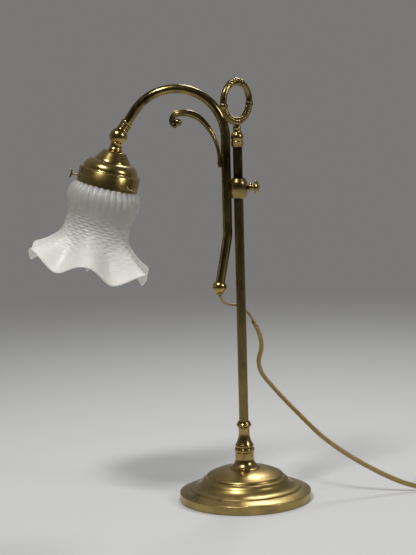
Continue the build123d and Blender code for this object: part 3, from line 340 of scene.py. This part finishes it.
# Cord: the routes of the solids, in metres. The lead hangs under the arm's ball and the line goes on
# to the table, where it is wound flat in two layers.
cord_width = 5.4 * mm
cord_thick = 2.7 * mm
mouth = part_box("cord_grommet")[0]
ball_x = (ball_low.x + ball_high.x) / 2
lead_end = (0.01232, 0.01111, 0.19108)
lead_route = [(ball_x, 0, mouth.z), (ball_x, 0, 0.2106), (0.0035, 0.0109, 0.2078), lead_end]
drop_route = [lead_end, (0.0245, 0.0114, 0.168), (0.014, 0.011, 0.141),
              (0.035, 0.0106, 0.1145), (0.062, 0.0102, 0.085), (0.089, 0.010, 0.057),
              (0.136, 0.0099, 0.0255), (0.184, 0.0098, 0.0029)]
coil_x = 0.232
coil_y = 0.0098
coil_z = 0.0029
coil_in = 0.0206
coil_pitch = 0.0044
coil_rise = 0.0056
coil_turns = 4
plug_lead = 0.030
plug_z = 0.00685


def coil_route():
    """Control points of the coil: half turns whose radius falls by half the pitch each, one that climbs,
    and half turns that widen again; six points a half turn, just outside their arc."""
    inward = [coil_in + coil_pitch / 2 * count for count in range(2 * coil_turns - 1, -1, -1)]
    outward = [coil_in + coil_pitch / 2 * count for count in range(2 * coil_turns - 1)]
    turns = [(radius, coil_z, coil_z) for radius in inward]
    turns += [(coil_in - coil_pitch / 2, coil_z, coil_z + coil_rise)]
    turns += [(radius, coil_z + coil_rise, coil_z + coil_rise) for radius in outward]
    route, y, side, steps = [], coil_y, 1, 7
    overshoot = 1 / math.cos(math.pi / steps / 2)
    for radius, low, high in turns:
        for count in range(steps):
            angle = math.pi * (count + 0.5) / steps
            share = (1 - math.cos(angle)) / 2
            route.append((coil_x + side * radius * overshoot * math.sin(angle),
                          y + side * radius * (1 - overshoot * math.cos(angle)),
                          low + (high - low) * share))
        y += side * 2 * radius
        side = -side
    return route, y


def spline_points(name, route):
    """Points of the smooth spline that has the route as its control points."""
    curve = bpy.data.curves.new(name, "CURVE")
    curve.dimensions = "3D"
    curve.resolution_u = 8
    spline = curve.splines.new("NURBS")
    spline.points.add(len(route) - 1)
    for point, place in zip(spline.points, route):
        point.co = (*place, 1.0)
    spline.order_u = 3
    spline.use_endpoint_u = True
    holder = bpy.data.objects.new(name, curve)
    bpy.context.scene.collection.objects.link(holder)
    bpy.context.view_layer.update()
    mesh = bpy.data.meshes.new_from_object(holder.evaluated_get(bpy.context.evaluated_depsgraph_get()))
    points = np.empty(len(mesh.vertices) * 3)
    mesh.vertices.foreach_get("co", points)
    bpy.data.objects.remove(holder)
    return points.reshape(-1, 3)


def flat_flex(name, path, lean_of, columns=20):
    """Twin flex along a path: two touching circles of radius r joined by a web. A point at angle t lies
    2r cos t across; its half thickness there is the circle's, and between the centres never less than
    0.55 r, the web's. lean_of gives the width's direction at each point."""
    tangent = unit(np.gradient(path, axis=0))
    wide = lean_of(path, tangent)
    wide = unit(wide - tangent * np.sum(wide * tangent, axis=1, keepdims=True))
    thin = np.cross(tangent, wide)
    angle = np.linspace(0, 2 * math.pi, columns, endpoint=False)
    across = cord_width / 2 * np.cos(angle)
    lobe = cord_thick / 2
    web = 0.55 * lobe * (np.abs(across) < lobe)
    inside = np.sqrt(np.maximum(lobe ** 2 - (np.abs(across) - lobe) ** 2, web ** 2))
    through = np.sign(np.sin(angle)) * inside * (np.abs(np.sin(angle)) > 1e-6)
    grid = (path[:, None, :] + wide[:, None, :] * across[None, :, None]
            + thin[:, None, :] * through[None, :, None])
    run = np.concatenate([[0], np.cumsum(np.linalg.norm(np.diff(path, axis=0), axis=1))])
    uv = np.stack(np.broadcast_arrays(run[:, None], across[None, :]), axis=-1)
    return skin(name, grid, caps=True, uv=uv)


def lying_lean(path, tangent):
    """The width stands upright along the coil and leans over a little higher up the hanging stretch."""
    up = np.array([0.0, 0.0, 1.0])
    level = np.array([0.0, -1.0, 0.0])
    leaning = 0.62 * level + 0.78 * np.cross(level, tangent)
    share = step_up(path[:, 2], 0.02, 0.12)[:, None]
    return unit(up[None, :] * (1 - share) + leaning * share)


def lead_lean(path, tangent):
    """The width lies level, square to the way the lead runs."""
    level = np.cross(tangent, np.array([0.0, 0.0, 1.0]))
    level[np.linalg.norm(level, axis=1) < 0.05] = (0.0, -1.0, 0.0)
    return unit(level)


winding, end_y = coil_route()
line_route = drop_route + [(coil_x - 0.004, coil_y, coil_z)] + winding
line_route += [(coil_x + 0.008, end_y, coil_z + coil_rise), (coil_x + 0.022, end_y, plug_z),
               (coil_x + plug_lead, end_y, plug_z), (coil_x + plug_lead + 0.008, end_y, plug_z)]
lead_path = spline_points("lead_route", lead_route)
line_path = spline_points("line_route", line_route)
lead = flat_flex("cord_lead_flex", lead_path, lead_lean)
line = flat_flex("cord_line_flex", line_path, lying_lean)


finish_piece(lead, None, sheath, "cord_lead", "arm_flex")
finish_piece(line, None, sheath, "cord_drop", "cord_coil")
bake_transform(lead)
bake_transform(line)

# Camera
camera_data = bpy.data.cameras.new("photo_view")
camera_data.sensor_fit = "VERTICAL"
camera_data.sensor_height = sensor
camera_data.lens = focal_pixels / photo_height * sensor
camera = bpy.data.objects.new("photo_view", camera_data)
camera.location = view_from
turn = Euler((math.pi / 2 - view_down, 0, 0)).to_matrix() @ Euler((0, 0, view_roll)).to_matrix()
camera.rotation_euler = turn.to_euler()
bpy.context.scene.collection.objects.link(camera)
bpy.context.scene.camera = camera


# CAD nodes whose shape is right: a merged copy is shaded smooth and takes the finish
def dressed(node, material, crease=32.0):
    """Copy of a node's mesh with its doubles merged, smooth but for edges sharper than crease."""
    mesh = nodes[node].data.copy()
    mesh.name = node + "_finish"
    work = bmesh.new()
    work.from_mesh(mesh)
    bmesh.ops.remove_doubles(work, verts=work.verts, dist=1e-6)
    work.to_mesh(mesh)
    work.free()
    mesh.shade_smooth()
    mesh.set_sharp_from_angle(angle=math.radians(crease))
    piece = bpy.data.objects.new(node + "_finish", mesh)
    bpy.context.scene.collection.objects.link(piece)
    return finish_piece(piece, body_of[node], material, node)


node_finishes = {
    polished: ("lower_pedestal", "upper_pedestal", "finial_knob", "clamp_screw", "end_ball", "knuckle_neck",
               "knuckle_stub", "gallery", "scroll_rivet"),
    spun: ("base_shell",), cast: ("clamp_collar",), drawn: ("stem_tube", "arm_tube"),
    steel: ("base_washer", "base_nut", "tie_rod", "knuckle_screw", "gallery_nut", "plug_pins"),
    iron: ("ballast",), felt: ("felt_pad",), nylon: ("slide_bush",), grommet: ("cord_grommet",),
    sleeve: ("holder_sleeve",), ceramic: ("holder_core",), wire: ("holder_wires",), cap_metal: ("bulb_cap",),
    bulb_white: ("bulb_glass",), tie_black: ("cord_tie",), plug_gold: ("cord_relief", "plug_body"),
}
on_cord = ("cord_tie", "cord_relief", "plug_body", "plug_pins")
for material, members in node_finishes.items():
    for node in members:
        if node in on_cord:
            nodes[node].data.materials.clear()
            nodes[node].data.materials.append(material)
        else:
            dressed(node, material)

# Glass shade
ruffles = 6
ribs = 32
pads = 20
pad_row = 3.0 * mm
glass_wall = 2.2 * mm
rib_height = 1.9 * mm
pad_height = 0.9 * mm
pad_half_width = 0.47
pad_half_height = 0.54
pads_start = 32 * mm
roundness = 0.6
arch_line = np.array([(30.3, -12.6), (29.2, -9.2), (29.2, -2.6), (33.2, 3.2), (36.4, 9.0), (37.1, 16.0),
                      (35.8, 26.0), (33.8, 37.0), (34.6, 47.0), (40.4, 57.0), (50.6, 66.0), (60.8, 72.8),
                      (69.3, 77.1)]) * mm
lobe_line = np.array([(30.3, -12.6), (29.2, -9.2), (29.2, -2.6), (33.2, 3.2), (36.4, 9.0), (37.1, 16.0),
                      (35.8, 26.0), (33.8, 37.0), (34.2, 48.0), (37.2, 59.0), (43.0, 70.6), (50.6, 82.0),
                      (60.0, 92.3)]) * mm


def smooth_line(points, count):
    """Natural-looking curve through points: cubic Hermite pieces whose slope at a point is half the
    step between its neighbours, sampled evenly in count places."""
    slopes = np.gradient(points, axis=0)
    place = np.linspace(0, len(points) - 1, count)
    first = np.minimum(place.astype(int), len(points) - 2)
    t = (place - first)[:, None]
    a, b, sa, sb = points[first], points[first + 1], slopes[first], slopes[first + 1]
    return (a * (2 * t ** 3 - 3 * t ** 2 + 1) + sa * (t ** 3 - 2 * t ** 2 + t)
            + b * (3 * t ** 2 - 2 * t ** 3) + sb * (t ** 3 - t ** 2))


def shade_surface():
    """Wall of revolution pushed into ruffles: at angle t the section is the arch line and the lobe line
    mixed by half of 1 + cos 6t, so the rim rises and flares at each arch and hangs at each lobe. Rounded
    ribs, |sin 16t| to the power 0.6, ring the neck and die out below it. Under them lie rows of small
    oval pads 3 mm apart along the wall, each row half a pad and a little more or less round from the last:
    a pad's height is 1 minus the squares of the distances from its centre, over its half width and half
    height, to the power 0.6, and it swells by a sine of its place and row."""
    rows, columns = 230, 320
    angle = np.linspace(0, 2 * math.pi, columns, endpoint=False)
    share = ((1 + np.cos(ruffles * angle)) / 2)[None, :, None]
    arch, lobe = smooth_line(arch_line, rows), smooth_line(lobe_line, rows)
    line = share * arch[:, None, :] + (1 - share) * lobe[:, None, :]
    along = np.gradient(line, axis=0)
    normal = unit(np.stack([along[..., 1], -along[..., 0]], axis=-1))
    down = line[..., 1]
    steps = np.linalg.norm(np.diff(line, axis=0), axis=2)
    run = np.concatenate([np.zeros((1, columns)), np.cumsum(steps, axis=0)])
    below = run - run[np.argmin(np.abs(down[:, 0])), 0]
    ridge = (np.abs(np.sin(ribs / 2 * angle)) ** roundness)[None, :]
    ribbed = step_up(below, -4.5 * mm, 1.5 * mm) * (1 - step_up(below, 13 * mm, 34 * mm))
    place = (below - pads_start) / pad_row
    pad = np.zeros_like(below)
    for shift in (-1, 0, 1):
        number = np.floor(place) + shift
        wander = 0.5 * (number % 2) + 0.09 * np.sin(2.4 * number)
        turns = angle[None, :] * pads / (2 * math.pi) + wander
        sideways = turns % 1 - 0.5
        upright = place - number - 0.5
        swell = 0.8 + 0.2 * np.sin(2 * math.pi / pads * 7 * np.floor(turns) + 1.7 * number)
        dome = 1 - (sideways / pad_half_width) ** 2 - (upright / pad_half_height) ** 2
        pad = np.maximum(pad, swell * np.clip(dome, 0, 1) ** roundness)
    padded = step_up(below, 28 * mm, 38 * mm) * (1 - 0.75 * step_up(below, 56 * mm, 88 * mm))
    padded *= 1 - step_up(below, 86 * mm, 95 * mm)
    lift = rib_height * ridge * ribbed + pad_height * pad * padded
    outer = line + normal * lift[..., None]
    span = np.linspace(0, 1, rows)[:, None]
    thin = glass_wall * (1 - 0.25 * step_up(span, 0.8, 1.0))[..., None]
    inner = line - normal * thin
    lip = (outer[-1:] + inner[-1:]) / 2 + unit(along[-1:]) * 0.9 * mm
    crown = (outer[:1] + inner[:1]) / 2 - unit(along[:1]) * 0.6 * mm
    section = np.concatenate([crown, outer, lip, inner[::-3]], axis=0)
    front = np.array((0.0, -1.0, 0.0))
    right = np.array(shade_up.cross(Vector((0, -1, 0))))
    out = np.cos(angle)[:, None] * front + np.sin(angle)[:, None] * right
    edge = np.array(pivot - shade_up * gallery_edge)
    points = (edge + section[..., :1] * out[None, :, :]
              - section[..., 1:] * np.array(shade_up)[None, None, :])
    height = np.concatenate([below[:1], below, below[-1:] + 12 * mm, below[::-3]], axis=0) / (100 * mm)
    uv = np.stack([np.broadcast_to(angle / (2 * math.pi), height.shape), height], axis=-1)
    return points, uv


shade_points, shade_uv = shade_surface()
shade_glass = skin("tulip_shade", shade_points, close_rows=True, uv=shade_uv)
finish_piece(shade_glass, "shade", etched_and_painted, "glass_shade")

# Hooked thumbscrews of the shade holder: places along the screw's axis from the joint's spot
shank_start = 29.5 * mm
shank_length = 9.7 * mm
shank_radius = 1.0 * mm
thread_depth = 0.12 * mm
thread_phase = 34.56
wing_place = 39.1 * mm
wing_reach = 4.7 * mm
wing_rod = 0.95 * mm


def screw_frame(joint):
    """The screw's spot, its axis and two directions square to it, the second one up along the shade."""
    axis = np.array(joint["axis"])
    side = unit(np.cross(axis, np.array(shade_up))[None, :])[0]
    return np.array(screw_spot), axis, side, np.cross(side, axis)


def hook_surface(joint, turned, sag):
    """Wing rod across the end of the screw's shank: along w from -1 to 1 it bows outwards by sag times w
    squared, its tube radius is sqrt(1 - w8) of 0.95 mm, and it is turned about the axis."""
    base, axis, side, rise = screw_frame(joint)
    wing = side * math.cos(turned) + rise * math.sin(turned)
    w = np.linspace(-1, 1, 41)
    line = base + axis * wing_place + np.outer(w * wing_reach, wing) + np.outer(w ** 2 * sag, axis)
    tangent = unit(np.gradient(line, axis=0))
    flat = np.cross(axis, wing)
    across = np.cross(tangent, flat)
    around = np.linspace(0, 2 * math.pi, 20, endpoint=False)
    tube = wing_rod * np.sqrt(np.clip(1 - w ** 8, 0.02, 1))
    return line[:, None, :] + tube[:, None, None] * (np.cos(around)[None, :, None] * flat
                                                     + np.sin(around)[None, :, None] * across[:, None, :])


def shank_surface(joint):
    """Turned shank whose thread is 11 rings: radius 1 mm less 0.12 |sin| of a phase that grows along it."""
    base, axis, side, rise = screw_frame(joint)
    along = np.linspace(0, 1, 120)
    radius = shank_radius - thread_depth * np.abs(np.sin(along * thread_phase))
    around = np.linspace(0, 2 * math.pi, 20, endpoint=False)
    centre = base + np.outer(shank_start + shank_length * along, axis)
    return centre[:, None, :] + radius[:, None, None] * (np.cos(around)[None, :, None] * side
                                                         + np.sin(around)[None, :, None] * rise)


wing_poses = (("left", 90.0, 1.4 * mm), ("front", 8.0, 2.6 * mm), ("rear", 20.0, 2.6 * mm))
for label, wing_turn, wing_sag in wing_poses:
    turned_joint = joints["holder_screw_" + label + "_turn"]
    shank = skin("screw_shank_" + label, shank_surface(turned_joint), caps=True)
    wings = skin("screw_wings_" + label,
                 hook_surface(turned_joint, math.radians(wing_turn), wing_sag), caps=True)
    finish_piece(shank, "holder_screw_" + label, polished, "gallery_screw_" + label)
    finish_piece(wings, "holder_screw_" + label, polished)

# Finial ring
ring_turn = math.radians(48.5)
ring_r = 20.6 * mm
ring_tube = 3.3 * mm
ring_peg = 4.8 * mm
ring_z = knob_top + ring_peg + ring_r
winds = 60
wind_height = 0.62 * mm
reed_height = 0.28 * mm
beads = ((-9.5, 0.9, 6.5), (66.0, 0.7, 6.0), (79.0, 0.5, 4.6), (90.0, 1.0, 6.0), (101.0, 0.5, 4.6),
         (114.0, 0.7, 6.0), (189.5, 0.9, 6.5))


def wreath_surface():
    """Torus whose tube radius changes along it: round beads, reed flutes between them that lean with the
    angle, close-wound binding below the side beads and a ribbed barrel at the foot."""
    rows, columns = 720, 48
    along = np.linspace(0, 360, rows, endpoint=False)
    around = np.linspace(0, 2 * math.pi, columns, endpoint=False)
    a, b = np.meshgrid(along, around, indexing="ij")
    place = (a + 180) % 360 - 180
    below = np.abs(((a + 90) + 180) % 360 - 180)
    tube = np.full_like(a, ring_tube)
    for centre, height, width in beads:
        away = np.abs((a - centre + 180) % 360 - 180)
        tube += height * mm * np.sqrt(np.clip(1 - (away / width) ** 2, 0, 1))
    wound = step_up(below, 17, 20) * (1 - step_up(below, 68, 71))
    tube += wound * wind_height * np.abs(np.sin(np.radians(a) * winds / 2)) ** 0.7
    barrel = 1 - step_up(below, 15.0, 19.0)
    tube += barrel * (1.25 - 0.0035 * below ** 2 + 0.35 * np.abs(np.cos(np.radians(below) * 22))) * mm
    reed = (1 - wound) * (1 - barrel)
    tube += reed * reed_height * (np.abs(np.cos(2.5 * b + np.radians(place) * 1.5)) - 0.4)
    flat = np.radians(a)
    side = np.array([-math.cos(ring_turn), -math.sin(ring_turn), 0.0])
    up = np.array([0.0, 0.0, 1.0])
    normal = np.cross(side, up)
    spoke = np.cos(flat)[..., None] * side + np.sin(flat)[..., None] * up
    centre = np.array([0.0, 0.0, ring_z])
    return centre + spoke * (ring_r + tube * np.cos(b))[..., None] + normal * (tube * np.sin(b))[..., None]


wreath = skin("finial_wreath", wreath_surface(), close_rows=True)
finish_piece(wreath, "stand", cast, "finial_ring")

# Scroll
arm_run_x = -12.3 * mm
arm_radius = 5.0 * mm
foot_half_width = 1.7 * mm
foot_gap = 0.1 * mm
foot_x = arm_run_x - arm_radius - foot_half_width - foot_gap
scroll_start = 0.3628
scroll_foot = 0.3548
long_arc = 60 * mm
short_arc = 28 * mm
volute_arc = 8.6 * mm
last_arc = 5 * mm
top_run = 3 * mm
arc_change = 44


def arc_points(centre, radius, start, end, count):
    """Points of an arc in the XZ plane between two angles in degrees."""
    angle = np.radians(np.linspace(start, end, count, endpoint=False))
    return np.stack([centre[0] + radius * np.cos(angle), centre[1] + radius * np.sin(angle)], axis=-1)


def scroll_line():
    """Centreline of the scroll: straight foot, arc of 60, arc of 28 to the apex, short run, then the
    volute's arcs of 8.6 and 5 mm."""
    cosine, sine = math.cos(math.radians(arc_change)), math.sin(math.radians(arc_change))
    first = (foot_x - long_arc, scroll_start)
    change = (first[0] + long_arc * cosine, first[1] + long_arc * sine)
    second = (change[0] - short_arc * cosine, change[1] - short_arc * sine)
    apex = (second[0], second[1] + short_arc)
    volute = (apex[0] - top_run, apex[1] - volute_arc)
    inner = (volute[0] - volute_arc + last_arc, volute[1])
    foot = np.stack([np.full(8, foot_x), np.linspace(scroll_foot, scroll_start, 8, endpoint=False)], axis=-1)
    top = np.stack([np.linspace(apex[0], volute[0], 4, endpoint=False), np.full(4, apex[1])], axis=-1)
    return np.concatenate([foot, arc_points(first, long_arc, 0, arc_change, 60),
                           arc_points(second, short_arc, arc_change, 90, 40), top,
                           arc_points(volute, volute_arc, 90, 180, 30),
                           arc_points(inner, last_arc, 180, 275, 26)])


def scroll_surface():
    """Band swept on the centreline: half width grows from 1.7 mm at the foot to 4.0 just before the apex and
    falls to 2.2 at the end; the section is a rounded lens with six shallow flutes round it."""
    line = scroll_line()
    tangent = unit(np.gradient(line, axis=0))
    out = np.stack([tangent[:, 1], -tangent[:, 0]], axis=-1)
    run = np.concatenate([[0], np.cumsum(np.linalg.norm(np.diff(line, axis=0), axis=1))])
    run /= run[-1]
    half = np.interp(run, [0, 0.08, 0.30, 0.50, 0.66, 0.80, 0.90, 1.0],
                     [1.7, 1.75, 2.3, 3.2, 4.0, 3.6, 3.0, 2.2]) * mm
    deep = np.interp(run, [0, 0.3, 0.7, 1.0], [2.4, 2.9, 3.3, 3.0]) * mm
    around = np.linspace(0, 2 * math.pi, 48, endpoint=False)
    wide = np.cos(around)
    tall = np.sin(around)
    flute = 1 - 0.20 * step_up(run, 0.1, 0.4)[:, None] * (np.abs(np.cos(around * 3))[None, :] ** 3)
    shape_w = np.sign(wide) * np.abs(wide) ** 0.8
    shape_t = np.sign(tall) * np.abs(tall) ** 0.8
    end = np.minimum(1, np.minimum(run, 1 - run) / 0.012 + 0.35)
    across = half[:, None] * shape_w[None, :] * flute * end[:, None]
    through = deep[:, None] * shape_t[None, :] * flute * end[:, None]
    x = line[:, 0, None] + out[:, 0, None] * across
    z = line[:, 1, None] + out[:, 1, None] * across
    return np.stack([x, through, z], axis=-1)


scroll = skin("cast_scroll", scroll_surface(), caps=True)
finish_piece(scroll, "arm", cast, "arm_scroll")


def ball_surface(centre, radius, rows=24, columns=32):
    """Sphere: centre plus radius times the unit vector at each latitude and longitude."""
    lat = np.linspace(0.02, math.pi - 0.02, rows)[:, None]
    lon = np.linspace(0, 2 * math.pi, columns, endpoint=False)[None, :]
    direction = np.stack([np.sin(lat) * np.cos(lon), np.sin(lat) * np.sin(lon),
                          np.cos(lat) * np.ones_like(lon)], axis=-1)
    return np.array(centre) + radius * direction


scroll_end = scroll_line()[-1]
scroll_ball_centre = (scroll_end[0] + 1.2 * mm, 0, scroll_end[1] + 3.8 * mm)
scroll_ball_radius = 4.2 * mm
scroll_ball = skin("scroll_ball", ball_surface(scroll_ball_centre, scroll_ball_radius), caps=True)
finish_piece(scroll_ball, "arm", cast)


# Floor, light and background
near_floor = (0.60, 0.60, 0.59)
far_floor = (0.19, 0.187, 0.184)
near_room = (0.035, 0.035, 0.036)


def seen_rays(tree):
    """1 for rays from the camera, from gloss and through glass, else 0."""
    paths = tree.nodes.new("ShaderNodeLightPath")
    value = paths.outputs["Is Camera Ray"]
    for name in ("Is Glossy Ray", "Is Transmission Ray"):
        larger = tree.nodes.new("ShaderNodeMath")
        larger.operation = "MAXIMUM"
        tree.links.new(value, larger.inputs[0])
        tree.links.new(paths.outputs[name], larger.inputs[1])
        value = larger.outputs[0]
    return value


def floor_material():
    """Pale matt floor that fades, away from the object, into the background's grey."""
    material, tree, bsdf = shader("pale_floor")
    bsdf.inputs["Base Color"].default_value = (*near_floor, 1)
    bsdf.inputs["Roughness"].default_value = 0.65
    bsdf.inputs["Specular IOR Level"].default_value = 0.2
    coordinates = tree.nodes.new("ShaderNodeTexCoord")
    length = tree.nodes.new("ShaderNodeVectorMath")
    length.operation = "LENGTH"
    tree.links.new(coordinates.outputs["Object"], length.inputs[0])
    fade = tree.nodes.new("ShaderNodeMapRange")
    fade.interpolation_type = "SMOOTHSTEP"
    fade.inputs["From Min"].default_value = 0.25
    fade.inputs["From Max"].default_value = 1.5
    tree.links.new(length.outputs["Value"], fade.inputs["Value"])
    both = tree.nodes.new("ShaderNodeMath")
    both.operation = "MULTIPLY"
    tree.links.new(fade.outputs["Result"], both.inputs[0])
    tree.links.new(seen_rays(tree), both.inputs[1])
    split = tree.nodes.new("ShaderNodeSeparateXYZ")
    tree.links.new(coordinates.outputs["Object"], split.inputs["Vector"])
    back = tree.nodes.new("ShaderNodeMapRange")
    back.inputs["From Min"].default_value = -1.4
    back.inputs["From Max"].default_value = 0.8
    tree.links.new(split.outputs["Y"], back.inputs["Value"])
    glow = tree.nodes.new("ShaderNodeEmission")
    distant = ramp(tree, back.outputs["Result"], [(0.0, near_room), (1.0, far_floor)])
    tree.links.new(distant, glow.inputs["Color"])
    mix = tree.nodes.new("ShaderNodeMixShader")
    tree.links.new(both.outputs[0], mix.inputs["Fac"])
    tree.links.new(bsdf.outputs["BSDF"], mix.inputs[1])
    tree.links.new(glow.outputs["Emission"], mix.inputs[2])
    tree.links.new(mix.outputs["Shader"], tree.nodes["Material Output"].inputs["Surface"])
    return material


floor_half = 80.0
floor_corners = np.array([(-1, -1, 0), (1, -1, 0), (1, 1, 0), (-1, 1, 0)]) * floor_half
floor = mesh_piece("floor", floor_corners, [[0, 1, 2, 3]])
floor.data.materials.append(floor_material())


def area_light(name, place, aim, size, power):
    """Square soft lamp at a place, facing a point."""
    data = bpy.data.lights.new(name, "AREA")
    data.shape = "SQUARE"
    data.size = size
    data.energy = power
    lamp = bpy.data.objects.new(name, data)
    lamp.location = place
    lamp.rotation_euler = (Vector(aim) - Vector(place)).to_track_quat("-Z", "Y").to_euler()
    bpy.context.scene.collection.objects.link(lamp)


area_light("key_lamp", (-0.6, -0.8, 1.8), (0, 0, 0.2), 0.30, 20)
area_light("fill_lamp", (1.4, -0.8, 1.1), (0, 0, 0.25), 0.35, 7)
area_light("back_lamp", (0.3, 1.1, 1.5), (0, 0, 0.3), 0.45, 9)

world = bpy.data.worlds.new("grey_room")
world.use_nodes = True
bpy.context.scene.world = world
tree = world.node_tree
background = tree.nodes["Background"]
coordinates = tree.nodes.new("ShaderNodeTexCoord")
split = tree.nodes.new("ShaderNodeSeparateXYZ")
tree.links.new(coordinates.outputs["Generated"], split.inputs["Vector"])
facing = tree.nodes.new("ShaderNodeMapRange")
facing.inputs["From Min"].default_value = -0.6
facing.inputs["From Max"].default_value = 0.5
tree.links.new(split.outputs["Y"], facing.inputs["Value"])
sky = ramp(tree, facing.outputs["Result"], [(0.0, near_room), (1.0, far_floor)])
mix = tree.nodes.new("ShaderNodeMix")
mix.data_type = "RGBA"
mix.inputs["A"].default_value = (0.30, 0.30, 0.30, 1)
tree.links.new(seen_rays(tree), mix.inputs["Factor"])
tree.links.new(sky, mix.inputs["B"])
tree.links.new(mix.outputs["Result"], background.inputs["Color"])
bpy.context.scene.view_settings.view_transform = "Standard"
